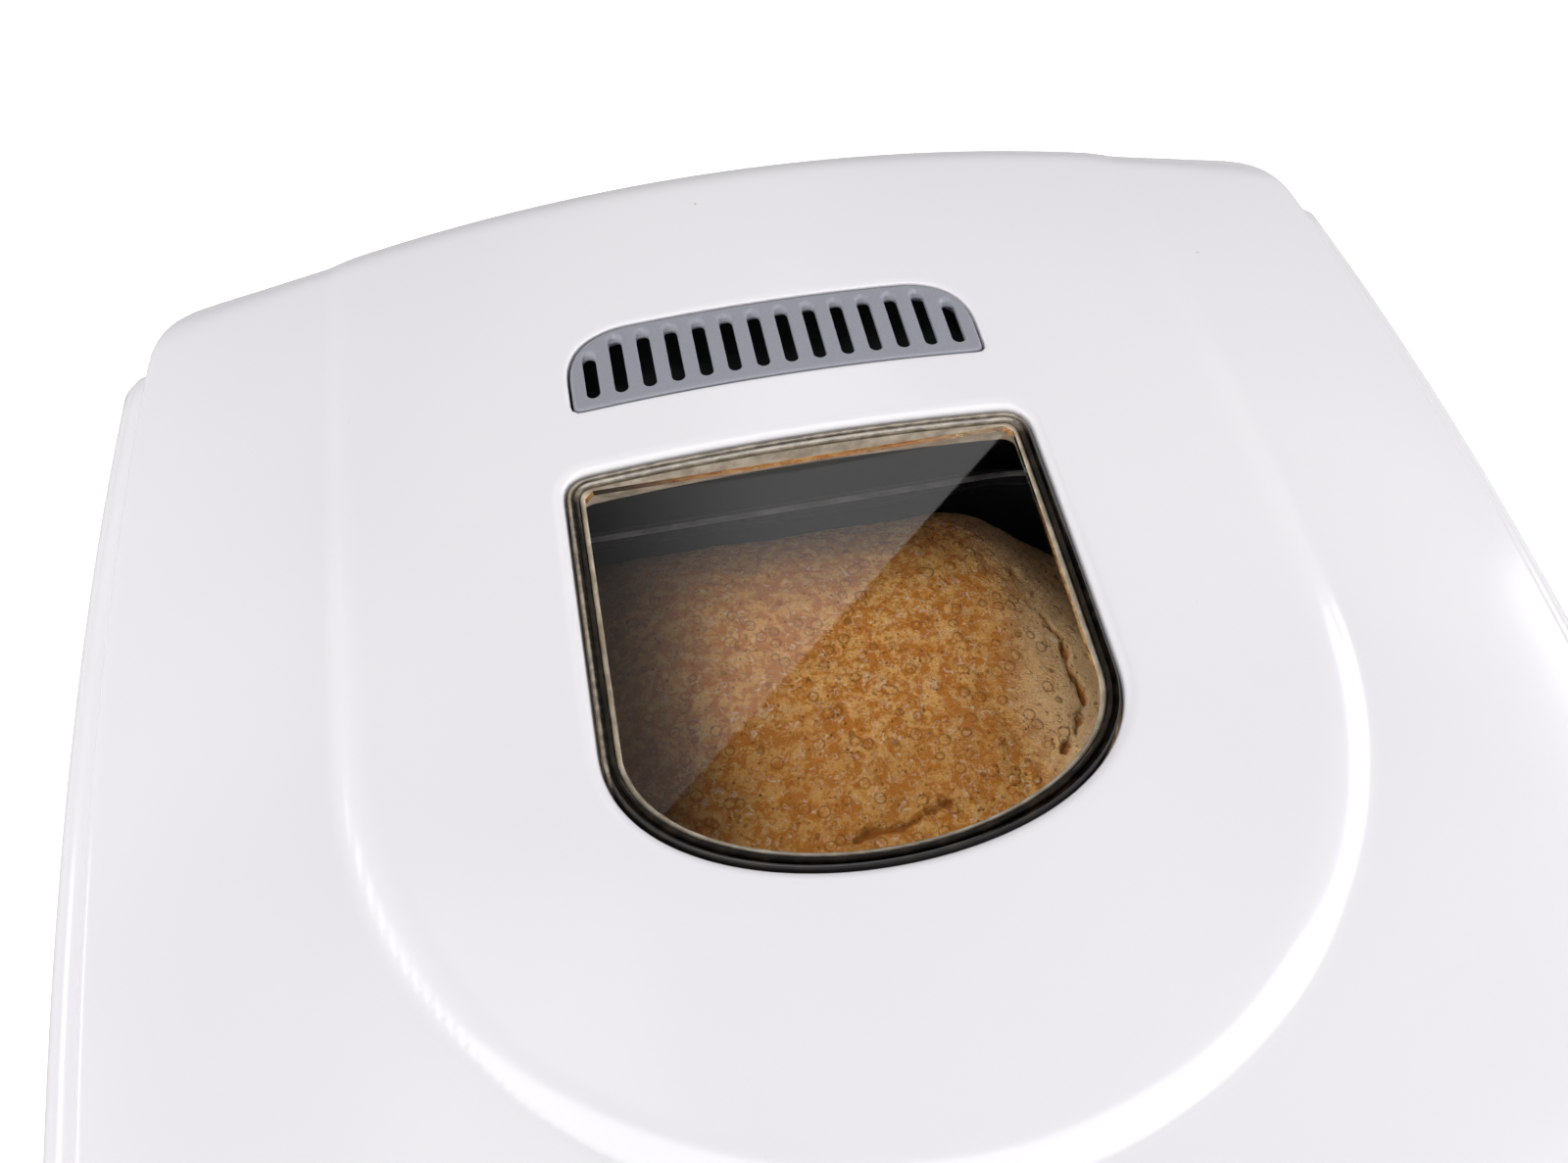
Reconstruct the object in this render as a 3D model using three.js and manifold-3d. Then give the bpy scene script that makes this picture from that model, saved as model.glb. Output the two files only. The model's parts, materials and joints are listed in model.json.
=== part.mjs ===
// A countertop bread machine, as an assembly of separate parts.
// Millimetres, +Z up, -Y is the front (controls), the origin is the middle of the footprint on the table.
import * as THREE from "three";
import { mergeVertices } from "three/addons/utils/BufferGeometryUtils.js";
import Module from "manifold-3d";

const wasm = await Module();
wasm.setup();

// ---------------------------------------------------------------- driving dimensions
const GAP = 0.4; // between parts that touch or nest

// The crowned top surface, shared by the lid and the control housing.
const APEX_Z = 289.4;
const APEX_Y = 95;
const CROWN_X = 14.5e-4; // fall across the width, per mm squared
const CROWN_Y = 6.2e-4; // fall along the depth, per mm squared
const LID_FRONT_Y = -70;
const LID_REAR_Y = 167;
const DECK_JOIN_Y = -71.2; // the control housing starts here
const FRONT_FALL = 22e-4; // extra fall of the control housing towards the front
const FRONT_FLATTEN = 0.9; // share of the crown lost at the front edge
const FRONT_RUN = 92; // length over which the crown fades out

// The outline seen from above: bowed sides, straight rear, gently bowed front.
const HALF_WIDTH = 126;
const SIDE_BOW = 2.5e-4;
const WIDEST_Y = 20;
const FRONT_Y = -163;
const FRONT_BOW = 4;
const CORNER_R = 17;
const CUT_R = 2;

// The body around and under the lid.
const WALL = 2.6;
const FLOOR_Z = 8;
const FOOT = { r: 11, chamfer: 1, x: 92, front: -132, rear: 134 };
const BASE_OUT = 3;
const BASE_TUCK = 4; // the foot of the housing tucks in by this much
const BASE_RISE = 5;
const BASE_PLATE = 3; // thickness
const SHOULDER_OUT = 9.5;
const SHOULDER_DOWN = 13;
const RIM_OUT = 1;
const RIM_STEP = 4.3; // the body's rim is this far under the lid's edge
const REAR_DROP = { depth: 11.3, start: 150, run: 13 }; // the rim drops here to clear the hinge
const REAR_VENTS = { count: 9, pitch: 10, half: 1.6, bottom: 150, top: 178 };
const LID_SKIRT = 9;
const LID_GAP = 1.6; // under the lid's skirt

// The raised panel of the lid, with its window and steam vent.
const PANEL_HALF = 80;
const PANEL_ARC_Y = 42.2;
const PANEL_REAR_H = 0.6;
const PANEL_FRONT_H = 2.4;
const WINDOW_HALF = 40.9;
const WINDOW_REAR_Y = 84.8;
const WINDOW_SIDE_Y = 31;
const WINDOW_FRONT_Y = 4.7;
const VENT_HALF = 37.6;
const VENT_FRONT_Y = 98.4;
const VENT_REAR_Y = 118;
const SLOT_COUNT = 14;
const SLOT_PITCH = 5.12;
const SLOT_WIDTH = 2.1;
const SLOT_FRONT = 2.7; // from the vent's front edge
const SLOT_REAR = 2.2; // from the vent's rear edge, and more for the two outer slots
const OUTER_SLOT_REAR = 5.2;

// The lid's inner lining, over the chamber, with slots under the steam vent and its own pane.
const LINER = { halfX: 92, front: -26, rear: 132, z: 263, edge: 159, r: 16 };
const LINER_SLOTS = { count: 9, pitch: 8, half: 1.5, front: 114, rear: 127 };
const INNER_PANE = { half: 54, y: 53, r: 8, thickness: 2.6 };

// The hinge of the lid.
const HINGE = { y: 172, z: 254.6, r: 4.2, pin: 2, x: 82, knuckle: 12 };
const HINGE_POCKET = { half: 14.6, front: 162, bottom: 234 };

// The baking chamber, the pan and the drive, all on one upright axis.
const DRIVE_Y = 50;
const CHAMBER = { halfX: 89, halfY: 84, r: 22, floor: 84, top: 230, wall: 1.2 };
const PAN = { topX: 72, topY: 64.5, footX: 66, footY: 59, r: 24, floor: 106, rim: 226, wall: 1.8, lip: 3 };
const EAR = { x: 77, z: 232.4, t: 2 };
const BAIL = { halfX: 80.5, reach: 72, wire: 2.1, square: 0.77 };
const BASE_RING = { r: 41, wall: 3, bottom: 87 };
const LOAF = { crown: 249, rise: 22, gap: 1 }; // it leaves the pan's wall this far under the rim
const SENSOR = { x: 30, z: 170, r: 2.4 };
const HEATER = { halfX: 81, halfY: 76, r: 24, z: 110, tube: 3.2, leadX: 60 };
const SHAFT = { r: 5, bush: 9 };
const PULLEY = { bigR: 45, smallR: 8, z: 30, height: 11 };
const MOTOR = { y: -98, r: 34, bottom: 50, height: 52 };
const BELT = { inside: 0.6, outside: 2.2, height: 7 }; // over the pulleys' rims
const CASTING = { halfX: 80, halfY: 70, legX: 70, legY: 60, boss: 16 };

// The electrics.
const INLET = { x: 78, z: 46, halfX: 14, halfZ: 10 };
const SHIELD = { y: -54, halfX: 96, top: 212, thickness: 1.4 };
const POWER_BOARD = { y: -156, halfX: 58, bottom: 60, top: 150, thickness: 1.6 };

// The finger recess in front of the lid's lip.
const RECESS = { r: 15, halfX: 28, halfLip: 22, lip: 5 };

// Controls, on the front housing.
const FASCIA = { halfX: 90, rear: -90, front: -146, r: 12, lift: 0.7 };
const DISPLAY = { halfX: 27, rear: -97, front: -119 };
const LIGHT_Y = -131;
const BUTTON = { r: 6.5, height: 6, proud: 1.6, travel: 1.2 };

// ---------------------------------------------------------------- colours
const finish = (color, roughness, metalness = 0) =>
  new THREE.MeshStandardMaterial({ color, roughness, metalness });
const MATERIAL = {
  white: finish(0xe9e7eb, 0.18),
  grey: finish(0xa2a3ae, 0.4),
  dark: finish(0x2a2a2c, 0.45),
  smoke: finish(0x8a7a66, 0.08),
  rubber: finish(0x202022, 0.8),
  steel: finish(0xb9bbbe, 0.35, 1),
  coat: finish(0x1d1d1f, 0.5),
  aluminium: finish(0xc6c8ca, 0.4, 1),
  board: finish(0x2d6b45, 0.6),
  ceramic: finish(0xece6da, 0.5),
  brass: finish(0xc9a55a, 0.35, 1),
  crust: finish(0xb9803f, 0.9),
};

// ---------------------------------------------------------------- solid helpers
function solid(geometry) {
  geometry.deleteAttribute("normal");
  geometry.deleteAttribute("uv");
  const merged = mergeVertices(geometry, 1e-4);
  return new wasm.Manifold(
    new wasm.Mesh({
      numProp: 3,
      vertProperties: new Float32Array(merged.attributes.position.array),
      triVerts: new Uint32Array(merged.index.array),
    }),
  );
}

function geometryOf(body) {
  const mesh = body.getMesh();
  const points = new Float32Array(mesh.numVert * 3);
  for (let i = 0; i < mesh.numVert; i++) {
    points.set(mesh.vertProperties.subarray(i * mesh.numProp, i * mesh.numProp + 3), i * 3);
  }
  const geometry = new THREE.BufferGeometry();
  geometry.setAttribute("position", new THREE.BufferAttribute(points, 3));
  geometry.setIndex(new THREE.BufferAttribute(new Uint32Array(mesh.triVerts), 1));
  return geometry;
}

// A flat shape extruded upwards from z0 to z1.
function prism(shape, z0, z1, segments = 3) {
  const options = { depth: z1 - z0, bevelEnabled: false, curveSegments: segments };
  return solid(new THREE.ExtrudeGeometry(shape, options).translate(0, 0, z0));
}

function box(x0, x1, y0, y1, z0, z1) {
  const geometry = new THREE.BoxGeometry(x1 - x0, y1 - y0, z1 - z0);
  return solid(geometry.translate((x0 + x1) / 2, (y0 + y1) / 2, (z0 + z1) / 2));
}

// An upright cylinder, from z0 to z1.
function drum(r, z0, z1, x = 0, y = 0, sides = 24) {
  const geometry = new THREE.CylinderGeometry(r, r, z1 - z0, sides).rotateX(Math.PI / 2);
  return solid(geometry.translate(x, y, (z0 + z1) / 2));
}

// A cylinder along X, from x0 to x1.
function rod(r, x0, x1, y, z, sides = 12) {
  const geometry = new THREE.CylinderGeometry(r, r, x1 - x0, sides).rotateZ(Math.PI / 2);
  return solid(geometry.translate((x0 + x1) / 2, y, z));
}

// A profile of [radius, z] points turned about the upright axis through (x, y).
function turned(profile, x = 0, y = 0, sides = 20) {
  const points = profile.map(([r, z]) => new THREE.Vector2(r, z));
  return solid(new THREE.LatheGeometry(points, sides).rotateX(Math.PI / 2).translate(x, y, 0));
}

// A round tube along a curve.
function tube(curve, r, steps, sides = 8) {
  const section = new THREE.Shape().absarc(0, 0, r, 0, Math.PI * 2);
  const options = { steps, extrudePath: curve, curveSegments: sides / 2 };
  return solid(new THREE.ExtrudeGeometry(section, options));
}

// Joins rings of equal point counts with a skin: a loop of rings closes on itself, a stack gets end caps.
function skin(rings, loop = false) {
  const n = rings[0].length;
  const points = rings.flat().flatMap((p) => [p.x, p.y, p.z]);
  const index = [];
  const last = loop ? rings.length : rings.length - 1;
  for (let r = 0; r < last; r++) {
    const a = r * n;
    const b = ((r + 1) % rings.length) * n;
    for (let i = 0; i < n; i++) {
      const j = (i + 1) % n;
      index.push(a + i, a + j, b + j, a + i, b + j, b + i);
    }
  }
  if (!loop) {
    const flat = (ring) => ring.map((p) => new THREE.Vector2(p.x, p.y));
    const top = (rings.length - 1) * n;
    for (const [i, j, k] of THREE.ShapeUtils.triangulateShape(flat(rings[0]), [])) index.push(k, j, i);
    for (const [i, j, k] of THREE.ShapeUtils.triangulateShape(flat(rings.at(-1)), [])) {
      index.push(top + i, top + j, top + k);
    }
  }
  const geometry = new THREE.BufferGeometry();
  geometry.setAttribute("position", new THREE.BufferAttribute(new Float32Array(points), 3));
  geometry.setIndex(index);
  const body = solid(geometry);
  if (body.volume() > 0) return body;
  geometry.setIndex(index.map((_, i) => index[i - (i % 3) + (2 - (i % 3))]));
  return solid(geometry);
}

// Everything under a height function, over a rectangle that is larger than the machine.
function under(height, cells = 10) {
  const size = { x: 300, y: 380, low: -20 };
  const geometry = new THREE.BoxGeometry(size.x, size.y, 2, cells, cells, 1);
  const at = geometry.attributes.position;
  for (let i = 0; i < at.count; i++) {
    at.setZ(i, at.getZ(i) > 0 ? height(at.getX(i), at.getY(i)) : size.low);
  }
  return solid(geometry);
}

const joined = (...bodies) => wasm.Manifold.union(bodies);

function part(name, body, material) {
  const mesh = new THREE.Mesh(geometryOf(body), material);
  mesh.name = name;
  return mesh;
}

const mirrored = (body) => body.mirror([1, 0, 0]);

// ---------------------------------------------------------------- surfaces and outlines
const smooth = (t) => {
  const s = Math.min(1, Math.max(0, t));
  return s * s * (3 - 2 * s);
};

const halfWidth = (y) => HALF_WIDTH - SIDE_BOW * (y - WIDEST_Y) ** 2;

function topZ(x, y) {
  const ahead = Math.max(0, DECK_JOIN_Y - y);
  const crown = CROWN_X * (1 - FRONT_FLATTEN * smooth(ahead / FRONT_RUN));
  return APEX_Z - crown * x * x - CROWN_Y * (y - APEX_Y) ** 2 - FRONT_FALL * ahead ** 2;
}

const edgeZ = (y) => topZ(halfWidth(y), y);
const rearDrop = (y) => REAR_DROP.depth * smooth((y - REAR_DROP.start) / REAR_DROP.run);
const rimZ = (y) => edgeZ(y) - RIM_STEP - rearDrop(y);
const skirtZ = (y) => edgeZ(y) - LID_SKIRT;

// How far the raised panel stands above the lid.
const panelRise = (y) => PANEL_REAR_H + (PANEL_FRONT_H - PANEL_REAR_H) * smooth((130 - y) / 170);
const panelZ = (x, y) => topZ(x, y) + panelRise(y);

// One bowed side of the outline between two y values, as the curve that halfWidth describes.
function bowedSide(shape, side, out, from, to) {
  const slope = (y) => -2 * SIDE_BOW * (y - WIDEST_Y);
  const middle = halfWidth(from) + out + (slope(from) * (to - from)) / 2;
  shape.quadraticCurveTo(side * middle, (from + to) / 2, side * (halfWidth(to) + out), to);
}

// The machine's outline, moved outwards by `out`. It may be cut off square at `front` or `rear`.
function outline(out, front = FRONT_Y, rear = LID_REAR_Y) {
  const whole = { front: front === FRONT_Y, rear: rear === LID_REAR_Y };
  const y0 = whole.front ? front - out : front;
  const y1 = whole.rear ? rear + out : rear;
  const f = whole.front ? CORNER_R + out : CUT_R;
  const r = whole.rear ? CORNER_R + out : CUT_R;
  const bow = whole.front ? FRONT_BOW : 0;
  const shape = new THREE.Shape();
  const wide = (y) => halfWidth(y) + out;
  shape.moveTo(wide(y0 + f), y0 + f);
  bowedSide(shape, 1, out, y0 + f, y1 - r);
  shape.quadraticCurveTo(wide(y1), y1, wide(y1) - r, y1);
  shape.lineTo(-wide(y1) + r, y1);
  shape.quadraticCurveTo(-wide(y1), y1, -wide(y1 - r), y1 - r);
  bowedSide(shape, -1, out, y1 - r, y0 + f);
  shape.quadraticCurveTo(-wide(y0), y0, -wide(y0) + f, y0 - bow * 0.4);
  shape.quadraticCurveTo(0, y0 - bow * 1.6, wide(y0) - f, y0 - bow * 0.4);
  shape.quadraticCurveTo(wide(y0), y0, wide(y0 + f), y0 + f);
  return shape;
}

// A rectangle with round corners, centred on (x, y).
function roundRect(halfX, halfY, r, x = 0, y = 0) {
  const shape = new THREE.Shape();
  shape.moveTo(x + halfX, y);
  for (const [u, v] of [[1, 1], [-1, 1], [-1, -1], [1, -1]]) {
    const start = u === v ? [u * halfX, v * (halfY - r)] : [u * (halfX - r), v * halfY];
    const end = u === v ? [u * (halfX - r), v * halfY] : [u * halfX, v * (halfY - r)];
    shape.lineTo(x + start[0], y + start[1]);
    shape.quadraticCurveTo(x + u * halfX, y + v * halfY, x + end[0], y + end[1]);
  }
  shape.closePath();
  return shape;
}

// The raised panel: straight sides from the rear, and a half circle at the front.
function panelOutline() {
  const shape = new THREE.Shape();
  shape.moveTo(PANEL_HALF, PANEL_ARC_Y);
  shape.lineTo(PANEL_HALF, LID_REAR_Y + 20);
  shape.lineTo(-PANEL_HALF, LID_REAR_Y + 20);
  shape.lineTo(-PANEL_HALF, PANEL_ARC_Y);
  shape.absarc(0, PANEL_ARC_Y, PANEL_HALF, Math.PI, Math.PI * 2);
  return shape;
}

// The window: a straight rear edge, straight sides and a round front, moved inwards by `inset`.
function windowOutline(inset) {
  const w = WINDOW_HALF - inset;
  const rear = WINDOW_REAR_Y - inset;
  const front = WINDOW_FRONT_Y + inset;
  const r = Math.max(0.6, 5 - inset);
  const shape = new THREE.Shape();
  shape.moveTo(w, WINDOW_SIDE_Y);
  shape.lineTo(w, rear - r);
  shape.quadraticCurveTo(w, rear, w - r, rear);
  shape.lineTo(-w + r, rear);
  shape.quadraticCurveTo(-w, rear, -w, rear - r);
  shape.lineTo(-w, WINDOW_SIDE_Y);
  shape.bezierCurveTo(-w, front + 10, -w * 0.52, front, 0, front);
  shape.bezierCurveTo(w * 0.52, front, w, front + 10, w, WINDOW_SIDE_Y);
  return shape;
}

// The steam vent: a straight front edge and large round rear corners.
function ventOutline(inset) {
  const w = VENT_HALF - inset;
  const front = VENT_FRONT_Y + inset;
  const rear = VENT_REAR_Y - inset;
  const r = 11;
  const shape = new THREE.Shape();
  shape.moveTo(w, front + 2);
  shape.lineTo(w, rear - r);
  shape.quadraticCurveTo(w - 0.5, rear - 1, w - r, rear);
  shape.lineTo(-w + r, rear);
  shape.quadraticCurveTo(-w + 0.5, rear - 1, -w, rear - r);
  shape.lineTo(-w, front + 2);
  shape.quadraticCurveTo(-w, front, -w + 2, front);
  shape.lineTo(w - 2, front);
  shape.quadraticCurveTo(w, front, w, front + 2);
  return shape;
}

// A layer that follows a height function: between `above` and `below` it.
const layer = (shape, height, above, below, segments = 3, cells = 10) =>
  prism(shape, 100, 320, segments)
    .intersect(under((x, y) => height(x, y) + above, cells))
    .subtract(under((x, y) => height(x, y) - below, cells));

// ---------------------------------------------------------------- housing
// One ring of the housing, `out` from the lid's outline, with each point's height from its depth.
function bodyRing(out, height) {
  return outline(out)
    .getPoints(4)
    .slice(0, -1)
    .map((p) => new THREE.Vector3(p.x, p.y, height(p.y)));
}

function housingShell() {
  const foot = FLOOR_Z + BASE_RISE;
  const shoulderZ = (y) => rimZ(y) - SHOULDER_DOWN;
  const rings = [];
  rings.push(bodyRing(BASE_OUT - BASE_TUCK, () => FLOOR_Z));
  rings.push(bodyRing(BASE_OUT, () => foot));
  for (const t of [0.35, 0.7]) {
    const out = BASE_OUT + (SHOULDER_OUT - BASE_OUT) * Math.sin((t * Math.PI) / 2);
    rings.push(bodyRing(out, (y) => foot + (shoulderZ(y) - foot) * t));
  }
  for (let i = 0; i <= 4; i++) {
    const a = (i / 4) * (Math.PI / 2);
    const out = RIM_OUT + (SHOULDER_OUT - RIM_OUT) * Math.cos(a);
    rings.push(bodyRing(out, (y) => shoulderZ(y) + SHOULDER_DOWN * Math.sin(a)));
  }
  rings.push(bodyRing(RIM_OUT, (y) => skirtZ(y) - 8));
  rings.push(bodyRing(SHOULDER_OUT - WALL, (y) => shoulderZ(y) - 12));
  rings.push(bodyRing(BASE_OUT - WALL, () => foot));
  rings.push(bodyRing(BASE_OUT - BASE_TUCK - WALL, () => FLOOR_Z));
  return skin(rings, true).subtract(joined(...rearOpenings()));
}

// What is cut out of the housing's rear wall: the hinge pockets, the warm-air vents and the power inlet.
function rearOpenings() {
  const [y0, y1] = [150, 190];
  const openings = [];
  for (const side of [-1, 1]) {
    const { half, front, bottom } = HINGE_POCKET;
    const x = side * HINGE.x;
    openings.push(box(x - half, x + half, front, y1, bottom, bottom + 28));
  }
  const { count, pitch, half, bottom, top } = REAR_VENTS;
  for (let i = 0; i < count; i++) {
    const x = (i - (count - 1) / 2) * pitch;
    openings.push(box(x - half, x + half, y0, y1, bottom, top));
  }
  const [u, v] = [INLET.halfX + GAP, INLET.halfZ + GAP];
  openings.push(box(INLET.x - u, INLET.x + u, y0, y1, INLET.z - v, INLET.z + v));
  return openings;
}

// The floor of the housing, with rows of cooling slots.
function basePlate() {
  const shape = outline(BASE_OUT - BASE_TUCK - WALL - GAP);
  let plate = prism(shape, FLOOR_Z, FLOOR_Z + BASE_PLATE, 5);
  for (const y of [-30, -10, 10]) {
    for (const x of [-75, -45, -15, 15, 45, 75]) {
      plate = plate.subtract(box(x - 10, x + 10, y - 1.6, y + 1.6, 0, 20));
    }
  }
  return plate;
}

function foot(x, y) {
  const { r, chamfer } = FOOT;
  const top = FLOOR_Z - GAP;
  return turned([[0, 0], [r - chamfer, 0], [r, 1.5], [r - chamfer, top], [0, top]], x, y);
}

// The sunken deck that the lid closes onto, with a collar down to the chamber.
function lidDeck() {
  const surface = (x, y) => skirtZ(y) - LID_GAP;
  const collarTop = skirtZ(LID_FRONT_Y) + 14;
  const open = roundRect(CHAMBER.halfX - GAP, CHAMBER.halfY - GAP, CHAMBER.r, 0, DRIVE_Y);
  const around = roundRect(CHAMBER.halfX + WALL, CHAMBER.halfY + WALL, CHAMBER.r + WALL, 0, DRIVE_Y);
  const plate = layer(outline(0.6, DECK_JOIN_Y + GAP), surface, 0, 2.4);
  const collar = prism(around, CHAMBER.top + 2, 280).intersect(under(surface));
  return joined(plate, collar).subtract(prism(open, 200, collarTop + 60));
}

// The front housing, which continues the crowned top and carries the controls.
function controlHousing() {
  const ahead = outline(0.6, FRONT_Y, DECK_JOIN_Y);
  const inside = outline(-WALL, FRONT_Y, DECK_JOIN_Y - WALL);
  const skirt = (x, y) => rimZ(Math.min(y, -75)) - 9;
  const outer = prism(ahead, 190, 300).intersect(under(topZ)).subtract(under(skirt));
  const inner = prism(inside, 150, 300).intersect(under((x, y) => topZ(x, y) - WALL));
  const recess = prism(fasciaOutline(0), 150, 300).subtract(under((x, y) => topZ(x, y) - 1.2));
  const { r, halfX } = RECESS;
  const [y, z] = [DECK_JOIN_Y - 2, topZ(0, DECK_JOIN_Y) + 3];
  const scoop = rod(r, -halfX, halfX, y, z, 20);
  const scoopWall = rod(r + WALL, -halfX - WALL, halfX + WALL, y, z, 20).intersect(outer);
  return outer.subtract(inner).add(scoopWall).subtract(scoop).subtract(recess).subtract(controlHoles());
}

// ---------------------------------------------------------------- controls
const fasciaOutline = (inset) =>
  roundRect(
    FASCIA.halfX - inset,
    (FASCIA.rear - FASCIA.front) / 2 - inset,
    FASCIA.r - inset,
    0,
    (FASCIA.rear + FASCIA.front) / 2,
  );

const displayShape = (grow) =>
  roundRect(
    DISPLAY.halfX + grow,
    (DISPLAY.rear - DISPLAY.front) / 2 + grow,
    3,
    0,
    (DISPLAY.rear + DISPLAY.front) / 2,
  );

// The upright holes for the display, the buttons and the light.
function controlHoles() {
  const holes = buttonPlaces().map((b) => drum(BUTTON.r + 0.9, 150, 300, b.x, b.y, 14));
  return joined(prism(displayShape(0.3), 150, 300, 2), drum(2.2, 150, 300, 0, LIGHT_Y, 10), ...holes);
}

// Three buttons on each side of the display, and the name of each.
function buttonPlaces() {
  const names = ["menu", "crust", "size", "time_up", "time_down", "start"];
  return names.map((name, i) => {
    const left = i < 3;
    const k = i % 3;
    return { name, x: (left ? -1 : 1) * (42 + k * 18.5), y: -109 - k * 3.5 - (k === 1 ? 3 : 0) };
  });
}

// The way a button travels: straight into the surface at its place.
function surfaceNormal(x, y) {
  const d = 0.5;
  const dx = (topZ(x + d, y) - topZ(x - d, y)) / (2 * d);
  const dy = (topZ(x, y + d) - topZ(x, y - d)) / (2 * d);
  return new THREE.Vector3(-dx, -dy, 1).normalize();
}

function controlFascia() {
  return layer(fasciaOutline(GAP), topZ, FASCIA.lift, 0.8).subtract(controlHoles());
}

function button({ x, y }) {
  const { r, height, proud } = BUTTON;
  const profile = [
    [0, -height],
    [r - 1, -height],
    [r - 1, -3.4],
    [r, -3.4],
    [r, proud - 0.6],
    [r - 0.7, proud],
    [0, proud],
  ];
  const points = profile.map(([out, z]) => new THREE.Vector2(out * 0.98, z));
  const geometry = new THREE.LatheGeometry(points, 14).rotateX(Math.PI / 2);
  const up = new THREE.Vector3(0, 0, 1);
  geometry.applyQuaternion(new THREE.Quaternion().setFromUnitVectors(up, surfaceNormal(x, y)));
  return solid(geometry.translate(x, y, topZ(x, y)));
}

// ---------------------------------------------------------------- lid
function lidShell() {
  const rim = outline(0, LID_FRONT_Y);
  const inside = outline(-WALL, LID_FRONT_Y + WALL);
  const skirt = (x, y) => skirtZ(y);
  const outer = joined(
    prism(rim, 200, 300).intersect(under(topZ)),
    prism(rim, 200, 300).intersect(prism(panelOutline(), 200, 300, 12)).intersect(under(panelZ)),
  );
  const roll = rearRoll();
  const inner = prism(inside, 150, 300)
    .intersect(under((x, y) => topZ(x, y) - WALL))
    .subtract(roll.translate([0, -WALL, -WALL]));
  const shell = outer.subtract(roll).add(liftLip()).subtract(under(skirt)).subtract(inner);
  return shell
    .subtract(prism(windowOutline(0), 200, 300, 8))
    .subtract(prism(ventOutline(0), 200, 300, 5))
    .add(joined(knuckle(-1), knuckle(1)));
}

// One of the lid's hinge knuckles, with the web that carries it.
function knuckle(side) {
  const { x, y, z, r, pin, knuckle: length } = HINGE;
  const x0 = side * x - length / 2;
  const x1 = x0 + length;
  const web = box(x0, x1, LID_REAR_Y - 2, y, z + 1, z + r);
  return joined(rod(r, x0, x1, y, z), web).subtract(rod(pin + 0.1, x0 - 5, x1 + 5, y, z));
}

// The lip on the lid's front edge, over the recess in the control housing.
function liftLip() {
  const { halfLip, lip } = RECESS;
  const y1 = LID_FRONT_Y + 1;
  return layer(roundRect(halfLip, (lip + 1) / 2, 2, 0, y1 - (lip + 1) / 2), topZ, 0, 3, 2);
}

// What is cut away along the lid's rear edge to round it over.
function rearRoll() {
  const r = 14;
  const length = 260;
  const shape = new THREE.Shape();
  shape.moveTo(40, -r);
  shape.lineTo(0, -r);
  shape.absarc(-r, -r, r, 0, Math.PI / 2, false);
  shape.lineTo(-r, 40);
  shape.lineTo(40, 40);
  const options = { depth: length, steps: 12, bevelEnabled: false, curveSegments: 4 };
  const bar = new THREE.ExtrudeGeometry(shape, options).rotateY(Math.PI / 2).rotateX(Math.PI / 2);
  bar.translate(-length / 2, LID_REAR_Y, 0);
  const at = bar.attributes.position;
  for (let i = 0; i < at.count; i++) at.setZ(i, at.getZ(i) + topZ(at.getX(i), LID_REAR_Y - r));
  return solid(bar);
}

// The lid's inner lining: a flange that follows the skirt, and a raised middle over the chamber.
function lidLiner() {
  const { halfX, front, rear, z, edge, r } = LINER;
  const flange = (x, y) => skirtZ(y) + 4;
  const ring = outline(-WALL - 2 * GAP, LID_FRONT_Y + WALL + GAP);
  const middle = (front + rear) / 2;
  const half = (rear - front) / 2;
  const wall = roundRect(halfX + 1, half + 1, r + 1, 0, middle);
  const liner = joined(
    layer(ring, flange, 1, 0, 3, 8),
    prism(wall, z - 12, z + 1, 5).subtract(under((x, y) => flange(x, y) - 0.1, 8)),
    prism(wall, z - 24, z - 6, 5).intersect(layer(ring, flange, 8, 0, 3, 8)),
  );
  const slots = LINER_SLOTS;
  const openings = [
    prism(roundRect(halfX, half, r, 0, middle), 180, z, 5),
    box(-130, 130, edge, 180, 200, 300),
    prism(innerPaneShape(-4), 200, 300, 4),
  ];
  for (let i = 0; i < slots.count; i++) {
    const x = (i - (slots.count - 1) / 2) * slots.pitch;
    openings.push(box(x - slots.half, x + slots.half, slots.front, slots.rear, 200, 300));
  }
  return liner.subtract(joined(...openings));
}

const innerPaneShape = (grow) =>
  roundRect(INNER_PANE.half + grow, INNER_PANE.half + grow, INNER_PANE.r + grow / 2, 0, INNER_PANE.y);

function innerPane() {
  const bottom = LINER.z + 1 + GAP;
  return prism(innerPaneShape(0), bottom, bottom + INNER_PANE.thickness, 4);
}

function ventGrille() {
  let grille = layer(ventOutline(GAP), panelZ, -0.3, 3);
  for (let i = 0; i < SLOT_COUNT; i++) {
    const x = (i - (SLOT_COUNT - 1) / 2) * SLOT_PITCH;
    const outer = i === 0 || i === SLOT_COUNT - 1;
    const y0 = VENT_FRONT_Y + SLOT_FRONT;
    const y1 = VENT_REAR_Y - (outer ? OUTER_SLOT_REAR : SLOT_REAR);
    const slot = roundRect(SLOT_WIDTH / 2, (y1 - y0) / 2, SLOT_WIDTH / 2 - 0.01, x, (y0 + y1) / 2);
    grille = grille.subtract(prism(slot, 200, 300, 1));
  }
  return grille;
}

const windowFrame = () =>
  layer(windowOutline(GAP), panelZ, -0.5, 6, 8).subtract(prism(windowOutline(2.4), 200, 300, 8));

const windowPane = () => layer(windowOutline(2.4 + GAP), panelZ, -0.9, 3.4, 8);

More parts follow.
